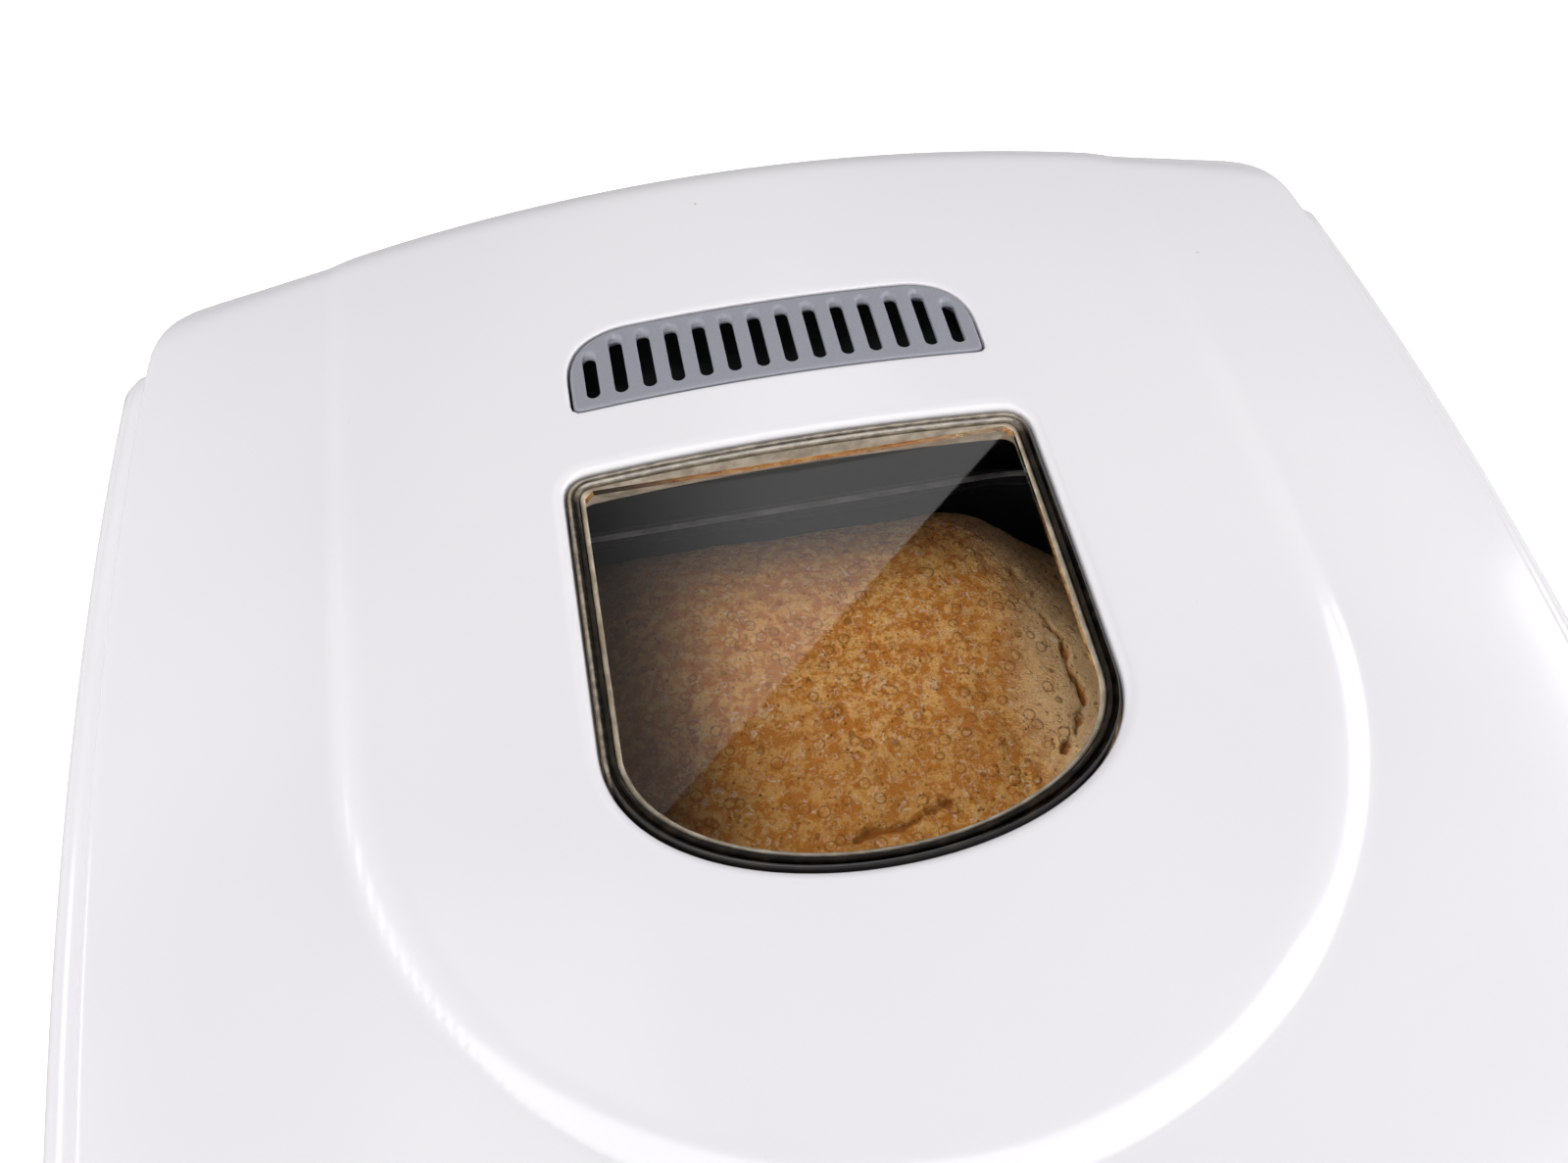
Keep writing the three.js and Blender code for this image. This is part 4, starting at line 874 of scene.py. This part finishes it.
def make_window_ring():
    """The moulding between the lid and the pane: a thin outer bead, a groove and a rounded inner band."""
    profile = [(0, 7.2), (0, 1.75), (0.1, 1.4), (0.35, 1.15), (0.6, 1.2), (0.8, 1.5), (0.95, 2.1), (1.05, 2.1),
               (1.15, 1.6), (1.35, 1.25), (1.65, 1.15), (1.9, 1.4), (RING_WIDTH, 1.8), (RING_WIDTH, 7.2)]
    rings = [ring_at(window_outline(GAP + inset), below(panel_z, depth)) for inset, depth in profile]
    piece("window_ring", lofted(rings, closed=True), "lid", "bronze_clear", ["window_frame"])


def make_pane():
    """The pane: a flat clear face inside a raised bronze edge."""
    start = GAP + RING_WIDTH + 0.1
    path_distance = distance_to(window_outline(start))
    bead = [(0.0, 7.0), (0.0, 2.3), (0.12, 1.95), (0.35, 1.8), (0.6, 1.95), (0.75, 2.35)]
    rings = [ring_at(window_outline(start + inset), below(panel_z, depth)) for inset, depth in bead]
    foot = lambda depth: (lambda x, y: np.minimum(pane_z(x, y) - depth, panel_z(x, y) - 2.5))
    rings.append(ring_at(window_outline(start + 0.85), foot(-0.1)))
    rings.append(ring_at(window_outline(start + 0.85), foot(2.2)))
    piece("window_bead", lofted(rings, closed=True), "lid", "bronze_clear", material=WINDOW_EDGE)
    inside = lambda x, y: path_distance(x, y) - 0.95
    area = (-WINDOW_HALF, WINDOW_HALF, WINDOW_FRONT_Y, WINDOW_REAR_Y)
    shape = moulded(inside, area, 2.5, pane_z, foot(2.0), lambda x, y: [(0.0, foot(0.5)), (0.0, foot(1.5))])
    piece("window_glass", shape, "lid", "clear_window", ["window_pane"])


# ---- the steam vent
def slots():
    """Each slot's x, front y and rear y."""
    for i in range(SLOT_COUNT):
        short = i in (0, SLOT_COUNT - 1)
        yield (i - (SLOT_COUNT - 1) / 2) * SLOT_PITCH, VENT_FRONT_Y + 2.7, VENT_REAR_Y - (5.0 if short else 2.0)


def capsule(x, y, cx, y0, y1, r):
    """How far a point is outside an upright capsule on the plan."""
    return np.hypot(x - cx, y - np.clip(y, y0, y1)) - r


def make_vent():
    r = SLOT_WIDTH / 2
    edge_round = 0.8
    lead_in = 0.12
    plate = 1.5
    scoop = 1.2  # length of the hollow that leads into each slot's far end

    def height(x, y):
        z = panel_z(x, y) - 0.25
        for cx, y0, y1 in slots():
            hollow = capsule(x, y, cx, y1 - r - scoop, y1 - r - 0.15, r)
            z = z - 0.9 * smooth((0.35 - hollow) / 0.9) * smooth((y - y1 + scoop + r + 0.9) / 1.6)
        return z

    def inside(x, y):
        away = vent_distance(x, y) - GAP - edge_round
        for cx, y0, y1 in slots():
            away = np.minimum(away, capsule(x, y, cx, y0 + r, y1 - r - scoop, r + lead_in))
        return away

    def edge(x, y):
        if np.ptp(x) > 10:
            return [*rounded(height, edge_round, 0, 5), (edge_round, below(panel_z, 4)), (0.3, below(panel_z, 4)),
                    (0.3, below(panel_z, plate))]
        return [*rounded(height, lead_in, 0, 2), (lead_in, below(panel_z, plate))]

    area = (-VENT_HALF, VENT_HALF, VENT_FRONT_Y, VENT_REAR_Y)
    shape = moulded(inside, area, 0.36, height, below(panel_z, plate), edge)
    piece("vent_cover", shape, "lid", "grey_plastic", ["vent_grille"])


def make_vent_shade_plate():
    """A dark plate under the vent, painted shade that makes the slots look black inside."""
    y0, y1 = VENT_FRONT_Y - 2, VENT_REAR_Y + 13
    path = round_rect(VENT_HALF + 3, (y1 - y0) / 2, 4, 0, (y0 + y1) / 2)
    piece("vent_shade_plate", slab(path, below(panel_z, 10), below(panel_z, 9)), "lid", "dark_plastic")


# ---- the loaf
PAN_FLOOR = 106.0
PAN_RIM = 226.0
PAN_TOP = np.array([72.0, 64.5])
PAN_FOOT = np.array([66.0, 59.0])
PAN_R = 24.0
LOAF_GAP = 1.2
LOAF_BASE = PAN_RIM - 22
LOAF_TOP = 248.6
LOAF_ROUND = 72.0  # the crown is rounder than the pan: no part of it is farther out than this
SPLIT_DEPTH = 1.4
PADDLE_ROOM = {"r": 38.0, "height": 32.0}


def pan_ring(z, out, fine=12, along=6):
    """The pan's inner wall at a height, moved outwards by `out`."""
    half_x, half_y = PAN_FOOT + (PAN_TOP - PAN_FOOT) * (z - PAN_FLOOR) / (PAN_RIM - PAN_FLOOR) + out
    return round_rect(half_x, half_y, PAN_R + out, 0, DRIVE_Y, fine, along)


# Where the crust has split, as seen from above: down the right side of the crown, and low at the front.
SPLITS = [
    [(42, 81), (44, 76), (44.5, 70), (47, 64), (46, 57), (47.5, 51), (45, 46), (42.5, 42), (39, 38)],
    [(-2, 27), (3, 28), (7, 27.5), (11, 29.5), (16, 30.5), (19, 32.5)],
]


def loaf_lumps(x, y):
    """How far the crown stands proud of its plain dome at a point."""
    rise = noise.noise(Vector((x / 34, y / 30, 3.1))) * 2.6
    rise += noise.noise(Vector((x / 13, y / 12, 7.7))) * 0.9
    rise += noise.noise(Vector((x / 5, y / 5, 1.3))) * 0.38
    rise += noise.noise(Vector((x / 2.2, y / 2.2, 5.9))) * 0.2
    crater = noise.voronoi(Vector((x / 5.2, y / 5.2, 0.4)))[0][0]
    rise += 0.32 * math.exp(-(((crater - 0.34) / 0.09) ** 2)) - 0.28 * math.exp(-((crater / 0.24) ** 2))
    return rise


def slump(x, y):
    """How far the crown falls away at its rear right, less its swelling along the rear."""
    return float(13.0 * smooth((x - 33) / 26) * smooth((y - 56) / 34) - 3.0 * smooth((y - 66) / 26))


def split_depth(x, y):
    """How deep into a split a point is, from 0 to 1."""
    wander = 1.0 * noise.noise(Vector((x / 2.4, y / 2.4, 9.2)))
    best = 0.0
    for k, line in enumerate(SPLITS):
        away = 1e9
        for (ax, ay), (bx, by) in zip(line, line[1:]):
            t = max(0, min(1, ((x - ax) * (bx - ax) + (y - ay) * (by - ay)) / ((bx - ax) ** 2 + (by - ay) ** 2)))
            away = min(away, math.hypot(x - ax - t * (bx - ax), y - ay - t * (by - ay)))
        width = 0.5 + 0.4 * noise.noise(Vector((x / 4, y / 4, 2.0 + k)))
        torn = smooth((noise.noise(Vector((x / 6, y / 6, 5.5 + k))) + 0.4) / 0.3)
        best = max(best, torn * (1 - smooth((abs(away + wander) - width * 0.4) / max(0.25, width))))
    return float(best)


def make_loaf():
    """The loaf: it fills the pan, crowns above the rim and is hollow round the paddle."""
    fine = {"fine": 50, "along": 80}
    drive, low = [0, DRIVE_Y], PAN_FLOOR + 0.8
    foot = pan_ring(low, -6, **fine)
    outward = (foot - drive) / np.linalg.norm(foot - drive, axis=1)[:, None]
    hollow = outward * PADDLE_ROOM["r"] + drive
    rings = [ring_at(hollow, PAN_FLOOR + PADDLE_ROOM["height"]), ring_at(hollow, low), ring_at(foot, low)]
    for z in [PAN_FLOOR + 5, *np.linspace(PAN_FLOOR + 20, LOAF_BASE - 4, 8)]:
        rings.append(ring_at(pan_ring(z, -LOAF_GAP, **fine), z))
    rim = pan_ring(LOAF_BASE, -LOAF_GAP, **fine)
    far = np.linalg.norm(rim - drive, axis=1)
    rounder = (rim - drive) * (np.minimum(far, LOAF_ROUND) / far)[:, None] + drive
    for reach in np.concatenate([[1.0, 0.998, 0.993, 0.985], np.linspace(0.975, 0.01, 130)]):
        z = LOAF_BASE + (LOAF_TOP - LOAF_BASE) * math.sqrt(1 - reach**3.64)
        share = smooth((1 - reach) / 0.35)
        path = rim * (1 - share) + rounder * share
        rings.append(ring_at(path * reach + [0, DRIVE_Y * (1 - reach)], z))
    points, faces = lofted(rings)
    crack, pale, dark = np.zeros((3, len(points)))
    for i, (x, y, z) in enumerate(points):
        share = float(smooth((z - LOAF_BASE + 4) / 16))
        if share > 0:
            crack[i] = split_depth(x, y) * share
            edge = noise.noise(Vector((x / 9, y / 9, 4.4))) * 5
            pale[i] = float(smooth((x + edge - 30) / 14)) * share
            # painted shade on the left end of the crown, kept in the dark attribute
            dark[i] = float(smooth((-x + edge * 0.5 - 12) / 24)) * share
            points[i][2] += share * (loaf_lumps(x, y) - slump(x, y)) - SPLIT_DEPTH * crack[i]
    loaf = piece("loaf", (points, faces), "pan", "crust", ["bread_loaf"], sharp=180)
    for name, values in (("crack", crack), ("pale", pale), ("dark", dark)):
        loaf.data.attributes.new(name, "FLOAT", "POINT").data.foreach_set("value", values)


# ---- the pan's rim
def make_pan_rim():
    """The pan's rolled rim."""
    line = ring_at(pan_ring(PAN_RIM, 2.9, 24, 16), PAN_RIM - 0.9)
    piece("pan_rim", swept(line, 1.7, 16, closed=True), "pan", "steel", material=WORN_RIM)


# ---- the body
def body_ring(out, height):
    """The machine's outline at `out`, as a ring whose height is a number or a function of y."""
    return ring_at(outline(out, fine=2), (lambda x, y: height(y)) if callable(height) else height)


def shoulder_z(y):
    return rim_z(y) - SHOULDER_DOWN


def make_housing():
    """The outer shell: it flares upwards, rounds over at the shoulder and is open at the top and bottom."""
    bottom, foot_top, foot_r = FLOOR_Z, FLOOR_Z + 5, 4
    rings = []
    for a in np.linspace(0, math.pi / 2, 5):
        rings.append(body_ring(BASE_OUT - foot_r + foot_r * math.sin(a), bottom + 5 * (1 - math.cos(a))))
    for t in np.linspace(0.04, 0.97, 22):
        out = BASE_OUT + (SHOULDER_OUT - BASE_OUT) * math.sin(t * math.pi / 2)
        rings.append(body_ring(out, lambda y, t=t: foot_top + (shoulder_z(y) - foot_top) * t))
    for a in np.linspace(0, math.pi / 2, 13):
        out = 1 + (SHOULDER_OUT - 1) * math.cos(a)
        rings.append(body_ring(out, lambda y, a=a: shoulder_z(y) + SHOULDER_DOWN * math.sin(a)))
    rings += [body_ring(out, height) for out, height in (
        (0.6, lambda y: rim_z(y) - 0.5), (0.6, lambda y: skirt_z(y) - 8),
        (SHOULDER_OUT - WALL, lambda y: shoulder_z(y) - 12), (BASE_OUT - WALL, foot_top),
        (BASE_OUT - foot_r - WALL, bottom))]
    shell = piece("body_shell", lofted(rings, closed=True), "body", "white_plastic", ["housing_shell"])
    openings = []
    for side in ("left", "right"):
        x, y, z = centre_mm(f"hinge_pin_{side}")
        openings.append(((x - 14.6, 162, 234), (x + 14.6, 190, 262)))
    openings += [((x - 1.6, 150, 150), (x + 1.6, 190, 178)) for x in range(-40, 41, 10)]
    x, y, z = centre_mm("power_inlet")
    openings.append(((x - 14.4, 150, z - 10.4), (x + 14.4, 190, z + 10.4)))
    cut(shell, openings)


# ---- the controls
FASCIA = {"half_x": 90.0, "rear": -90.0, "front": -146.0, "lift": 0.7}
DISPLAY = {"half_x": 27.0, "rear": -97.0, "front": -119.0}
LIGHT_Y = -131.0
BUTTON_R = 6.5
BUTTON_PROUD = 1.6
BUTTONS = ("menu", "crust", "size", "time_up", "time_down", "start")
SCOOP = {"r": 15.0, "half_x": 28.0, "y": DECK_JOIN_Y - 2}


def framed(spec, inset, r):
    """A round-cornered outline between a spec's front and rear."""
    half_y = (spec["rear"] - spec["front"]) / 2
    return round_rect(spec["half_x"] - inset, half_y - inset, r, 0, (spec["rear"] + spec["front"]) / 2, 8, 8)


def control_holes():
    """How far a point is outside the holes for the display, the buttons and the light."""
    display = distance_to(framed(DISPLAY, -0.3, 3))
    places = [centre_mm(f"button_{name}") for name in BUTTONS]

    def away(x, y):
        out = np.minimum(-display(x, y), np.hypot(x, y - LIGHT_Y) - 2.2)
        for px, py, pz in places:
            out = np.minimum(out, np.hypot(x - px, y - py) - BUTTON_R - 0.9)
        return out

    return away


def control_z(x, y):
    """The control housing's top: a finger scoop sinks into it in front of the lid."""
    top = top_z(x, y)
    across = np.clip((np.abs(x) - SCOOP["half_x"] + 9) / 9, 0, 1)
    r = SCOOP["r"] * np.sqrt(1 - across**2)
    middle = top_z(0, DECK_JOIN_Y) + 3
    hollow = middle - np.sqrt(np.maximum(r**2 - (y - SCOOP["y"]) ** 2, 0))
    hollow = np.where(r > np.abs(y - SCOOP["y"]), hollow, middle)
    soft = 0.8
    return -soft * np.logaddexp(-top / soft, -hollow / soft)


def make_controls():
    holes = control_holes()
    edge_round, wall_out = 2.2, 0.6
    rim = distance_to(outline(wall_out, rear=DECK_JOIN_Y))
    recess = distance_to(framed(FASCIA, 0, FASCIA_R))
    skirt = lambda x, y: rim_z(np.minimum(y, -75)) - 9
    surface = lambda x, y: control_z(x, y) - 1.2 * smooth((recess(x, y) + 0.35) / 0.7)
    inside = lambda x, y: np.minimum(rim(x, y) - edge_round, holes(x, y))

    def edge(x, y):
        if np.ptp(x) > 100:
            return [*rounded(surface, edge_round, 0, 6), (edge_round, skirt), (edge_round - WALL, skirt),
                    (edge_round - WALL, below(surface, WALL + 3))]
        return [(0.0, below(surface, 0.3)), (0.0, below(surface, WALL - 0.4))]

    area = (-HALF_WIDTH - 3, HALF_WIDTH + 3, FRONT_Y - 8, DECK_JOIN_Y + 2)
    shape = moulded(inside, area, 1.5, surface, below(surface, WALL), edge)
    piece("control_cover", shape, "body", "white_plastic", ["control_housing"])

    face = lambda x, y: top_z(x, y) + FASCIA["lift"]
    plate = distance_to(framed(FASCIA, GAP, FASCIA_R - GAP))
    rim_round, hole_round = 0.6, 0.3

    def plate_edge(x, y):
        r = rim_round if np.ptp(x) > 100 else hole_round
        return [*rounded(face, r, 0, 4), (r, below(top_z, 0.7))]

    shape = moulded(lambda x, y: np.minimum(plate(x, y) - rim_round, holes(x, y) - hole_round),
                    (-91, 91, -147, -89), 1.0, face, below(top_z, 0.8), plate_edge)
    piece("control_plate", shape, "body", "grey_plastic", ["control_fascia"])


def surface_frame(x, y):
    """Right, rearward and outward directions on the control surface at a point."""
    d = 0.5
    right = np.array([2 * d, 0, top_z(x + d, y) - top_z(x - d, y)])
    back = np.array([0, 2 * d, top_z(x, y + d) - top_z(x, y - d)])
    out = np.cross(right, back)
    out /= np.linalg.norm(out)
    right /= np.linalg.norm(right)
    return np.array([right, np.cross(out, right), out])


def seated(shape, x, y, lift=0.0):
    """A shape made round the origin, set on the control surface at (x, y)."""
    points, faces = shape
    axes = surface_frame(x, y)
    return points @ axes + [x, y, float(top_z(x, y))] + axes[2] * lift, faces


def mark_shapes(name):
    """The generic sign on each button, as flat outlines: a triangle, bars or blocks."""
    triangle = np.array([[-2.4, -1.4], [2.4, -1.4], [0, 2.2]])
    arc = [(2.6 * math.cos(a), 2.6 * math.sin(a) - 1) for a in np.linspace(0, math.pi, 13)]
    blocks = ((-2.1, 0.6, 1.6), (-0.3, 0.7, 2.6), (1.8, 0.9, 3.8))
    return {
        "menu": [rect(-2.2, y - 0.35, 2.2, y + 0.35) for y in (1.6, 0, -1.6)],
        "crust": [np.array(arc)],
        "size": [rect(x - w, -1.8, x + w, -1.8 + h) for x, w, h in blocks],
        "time_up": [triangle],
        "time_down": [-triangle],
        "start": [triangle[:, ::-1]],
    }[name]


def make_buttons():
    """Round buttons with dished tops and a sign on each."""
    r, top = BUTTON_R * 0.98, BUTTON_PROUD
    profile = [(0.01, -6), (r - 1, -6), (r - 1, -3.4), (r, -3.4), (r, top - 0.7), (r - 0.12, top - 0.3),
               (r - 0.4, top - 0.08), (r - 0.8, top), (r - 1.3, top - 0.05), (r - 2.2, top - 0.28),
               (r - 3.6, top - 0.5), (r - 5, top - 0.58), (0.01, top - 0.6)]
    for name in BUTTONS:
        x, y, z = centre_mm(f"button_{name}")
        normal = surface_frame(x, y)[2]
        depth = (z - top_z(x, y)) / normal[2]
        x, y = x - normal[0] * depth, y - normal[1] * depth
        body = f"button_{name}"
        piece(f"{name}_cap", seated(turned(profile), x, y), body, "white_plastic", [body])
        signs = [slab(path, top - 1.0, top - 0.42) for path in mark_shapes(name)]
        piece(f"{name}_sign", seated(together(*signs), x, y), body, "dark_plastic", material=MARKS, sharp=20)


DIGITS = {"0": "abcdef", "3": "abgcd"}
SEGMENTS = {"a": (0, 1, True), "b": (0.5, 0.5, False), "c": (0.5, -0.5, False), "d": (0, -1, True),
            "e": (-0.5, -0.5, False), "f": (-0.5, 0.5, False), "g": (0, 0, True)}


def make_display():
    """The liquid crystal face under its lens, showing a time of three hours."""
    depth = 2.4
    level = lambda drop: (lambda x, y: top_z(0, y) - depth - drop)
    face = slab(framed(DISPLAY, 0.6, 2.4), level(1.5), level(0))
    piece("display_face", face, "body", "grey_plastic", ["display_module"], DISPLAY_FACE)
    tall, wide, thick = 11.0, 6.0, 0.75
    middle = (DISPLAY["rear"] + DISPLAY["front"]) / 2
    signs = []

    def blot(x, y, half_x, half_y):
        signs.append(slab(rect(x - half_x, y - half_y, x + half_x, y + half_y), level(0.3), level(-0.12)))

    for x, digit in ((-10, "3"), (3, "0"), (12.5, "0")):
        for key in DIGITS[digit]:
            across, up, flat = SEGMENTS[key]
            half = (wide / 2 - thick * 0.65, thick / 2) if flat else (thick / 2, tall / 4 - thick * 0.65)
            blot(x + across * wide, middle + up * tall / 2, *half)
    for up in (-2.2, 2.2):
        blot(-3.5, middle + up, 0.6, 0.6)
    piece("display_digits", together(*signs), "body", "dark_plastic", material=MARKS)


# ---- stage, camera and lights
WINDOW_CENTRE = np.array([0.0, PANE_MIDDLE_Y, APEX_Z - 1.4])
CAMERA = {"aim": WINDOW_CENTRE + [-7.7, 10.5, 0], "away": 245.7, "turn": -8.6, "height": 54.25, "roll": -2.41,
          "lens": 35.03}
STAGE_AWAY = 1400.0  # from the window to the softboxes and the strip
WHITE = (1, 1, 1)

# Each softbox's turn from the front and its height, then how wide and tall it looks, all in degrees, and its glow.
SOFTBOXES = {
    "key": (-97, 62, 24, 24, 9.3),
    "front": (0, 26, 50, 20, 3.3),
    "right": (80, 14, 46, 12, 14.0),
    "right_rear": (122, 14, 34, 14, 3.6),
    "left": (-82, 18, 40, 20, 4.2),
    "left_rear": (-124, 16, 30, 14, 3.4),
}

# How high the strip reaches at each turn from the front, in degrees: just under what the lid itself mirrors.
STRIP_FOOT = 6
STRIP_TOPS = [(-112, 18), (-84, 24), (-76, 30), (-70, 37), (-60, 45), (-45, 52), (0, 60), (45, 48), (60, 38),
              (76, 33), (82, 18), (112, 17)]
STRIP_GLOW = (3.2, 4.3)

REFLECTED_EDGE = [(38.0, 82.0), (-27.0, 25.0)]  # two points of the pane that the softbox's edge shows through
HAZE_SPAN = (-44.0, -2.0)  # the softbox grows brighter between these places across the pane
HAZE_GLOW = (0.12, 0.98)


def toward(turn, height):
    """The direction at a turn from the front and a height, both in degrees."""
    t, h = math.radians(turn), math.radians(height)
    return np.array([math.sin(t) * math.cos(h), -math.cos(t) * math.cos(h), math.sin(h)])


def make_camera():
    """A wide lens close over the lid, seen from the front left. Gives its place."""
    back = toward(CAMERA["turn"], CAMERA["height"])
    place = CAMERA["aim"] + back * CAMERA["away"]
    data = bpy.data.cameras.new("camera")
    data.lens = CAMERA["lens"]
    data.sensor_width = 36
    data.clip_start = 0.01
    camera = placed("camera", data)
    camera.location = place * MM
    facing = Vector(-back).to_track_quat("-Z", "Y").to_matrix()
    camera.rotation_euler = (facing @ Matrix.Rotation(math.radians(CAMERA["roll"]), 3, "Z")).to_euler()
    bpy.context.scene.camera = camera
    return place


def stage_sheet(name, corners, material):
    mesh = bpy.data.meshes.new(name)
    mesh.from_pydata([tuple(np.array(c) * MM) for c in corners], [], [list(range(len(corners)))])
    mesh.materials.append(material)
    obj = placed(name, mesh)
    return obj


def make_floor():
    """A pale floor that shows soft shadows, and throws only a little light back up."""
    pale = Finish("floor", (0.8, 0.8, 0.8), 0.9, Specular_IOR_Level=0.0, Emission_Color=WHITE, Emission_Strength=0.6)
    dull = pale.node("ShaderNodeBsdfDiffuse", Color=(0.52, 0.52, 0.52))
    by_ray(pale.tree, "Is Camera Ray", dull, pale.shader, pale.output.inputs["Surface"])
    reach = 9000
    stage_sheet("floor", ring_at(rect(-reach, -reach, reach, reach), 0), pale.material)


def make_world():
    """Pale all round: what the camera meets directly is near white, what lights the machine is softer."""
    world = bpy.data.worlds.new("world")
    bpy.context.scene.world = world
    world.use_nodes = True
    tree = world.node_tree
    light = tree.nodes["Background"]
    light.inputs["Color"].default_value = (*WHITE, 1)
    light.inputs["Strength"].default_value = 0.17
    seen = tree.nodes.new("ShaderNodeBackground")
    seen.inputs["Strength"].default_value = 1.0
    by_ray(tree, "Is Camera Ray", light, seen, tree.nodes["World Output"].inputs["Surface"])


def make_softbox(name, turn, height, wide, tall, glow):
    """A lamp that the machine's glossy surfaces do not mirror."""
    data = bpy.data.lights.new(name, "AREA")
    data.shape = "RECTANGLE"
    data.size = 2 * STAGE_AWAY * MM * math.tan(math.radians(wide / 2))
    data.size_y = 2 * STAGE_AWAY * MM * math.tan(math.radians(tall / 2))
    data.energy = glow * math.pi * data.size * data.size_y
    light = placed(name, data)
    back = toward(turn, height)
    light.location = (WINDOW_CENTRE + back * STAGE_AWAY) * MM
    light.rotation_euler = Vector(back).to_track_quat("Z", "Y").to_euler()
    light.visible_glossy = False


def mirror_card(obj, through_glass=False):
    """Lets a card show only where something glossy mirrors it, from inside clear parts too or not."""
    obj.visible_camera = False
    obj.visible_diffuse = False
    obj.visible_transmission = through_glass
    obj.visible_shadow = False


def make_strip():
    """A bright strip curved round the front, which the sloping edge of the lid's raised panel mirrors."""
    glow = Finish("strip_light", (0, 0, 0), 1.0, Emission_Color=WHITE)
    across = glow.node("ShaderNodeSeparateXYZ", Vector=glow.place).outputs["X"]
    away = STAGE_AWAY * MM
    glow.set("Emission Strength", glow.between(across, *STRIP_GLOW, -away, away * 0.2))
    turns, tops = zip(*STRIP_TOPS)
    rim = []
    for turn in np.linspace(turns[0], turns[-1], 57):
        for height in (STRIP_FOOT, np.interp(turn, turns, tops)):
            rim.append(WINDOW_CENTRE + toward(turn, height) * STAGE_AWAY)
    for k in range(0, len(rim) - 2, 2):
        mirror_card(stage_sheet(f"strip_{k // 2}", [rim[k], rim[k + 2], rim[k + 3], rim[k + 1]], glow.material))


def make_reflection(camera):
    """A softbox and a dark card behind the machine, whose straight common edge the window mirrors as a diagonal."""
    up = np.array([0, -PANE_TILT, 1.0])
    up /= np.linalg.norm(up)
    ground = np.array([0, PANE_MIDDLE_Y, PANE_MIDDLE_Z])
    mirrored = camera - 2 * ((camera - ground) @ up) * up
    away, spare = 900, 60

    def beyond(x, y):
        """Where the camera's ray goes after the pane has mirrored it at (x, y)."""
        ray = np.array([x, y, float(pane_z(x, y))]) - mirrored
        return mirrored + ray / np.linalg.norm(ray) * away

    a, b = (beyond(x, y) for x, y in REFLECTED_EDGE)
    corners = np.array([beyond(x, y) for x in (-WINDOW_HALF, WINDOW_HALF) for y in (WINDOW_FRONT_Y, WINDOW_REAR_Y)])
    line = (a - b) / np.linalg.norm(a - b)
    across = corners[1] - (a + b) / 2
    across -= (across @ line) * line
    across /= np.linalg.norm(across)
    along, aside = (corners - b) @ line, (corners - b) @ across
    low, high = b + line * (along.min() - spare), b + line * (along.max() + spare)

    glow = Finish("softbox", (0, 0, 0), 1.0, Emission_Color=WHITE)
    left, right = (beyond(x, PANE_MIDDLE_Y) for x in HAZE_SPAN)
    sideways = (right - left) / np.linalg.norm(right - left)
    fall = glow.node("ShaderNodeVectorMath", Vector=glow.place)
    fall.operation = "DOT_PRODUCT"
    fall.inputs[1].default_value = sideways
    start, end = (left @ sideways) * MM, (right @ sideways) * MM
    glow.set("Emission Strength", glow.between(fall.outputs["Value"], *HAZE_GLOW, start, end))
    dark = Finish("dark_card", (0.004, 0.004, 0.004), 1.0, Specular_IOR_Level=0.0)
    for name, finish, reach in (("softbox", glow, aside.max() + spare), ("dark_card", dark, aside.min() - spare)):
        sheet = stage_sheet(name, [low, high, high + across * reach, low + across * reach], finish.material)
        mirror_card(sheet, through_glass=True)


# ---- carried-over CAD nodes
def dress_cad_nodes():
    """Gives every CAD node the finish of its slot, with small rounded edges."""
    slots_of = {part["node"]: part["material_slot"] for part in frame["record"]["subparts"]}
    special = {"inner_pane": INNER_PANE}
    for name, obj in frame["nodes"].items():
        obj.data.materials.clear()
        obj.data.materials.append(special.get(name) or LOOK[slots_of[name]])
        weld = obj.modifiers.new("weld", "WELD")
        weld.merge_threshold = 1e-5
        bevel = obj.modifiers.new("bevel", "BEVEL")
        bevel.width = 0.0004
        bevel.segments = 2
        bevel.limit_method = "ANGLE"
        bevel.angle_limit = math.radians(35)
        bevel.harden_normals = True


camera_place = make_camera()
for make in (make_lid, make_window_ring, make_pane, make_vent, make_vent_shade_plate, make_loaf, make_pan_rim,
             make_housing, make_controls, make_buttons, make_display, make_floor, make_world):
    make()
make_reflection(camera_place)
make_strip()
for name, values in SOFTBOXES.items():
    make_softbox(name, *values)
dress_cad_nodes()
bpy.context.scene.view_settings.view_transform = "Standard"
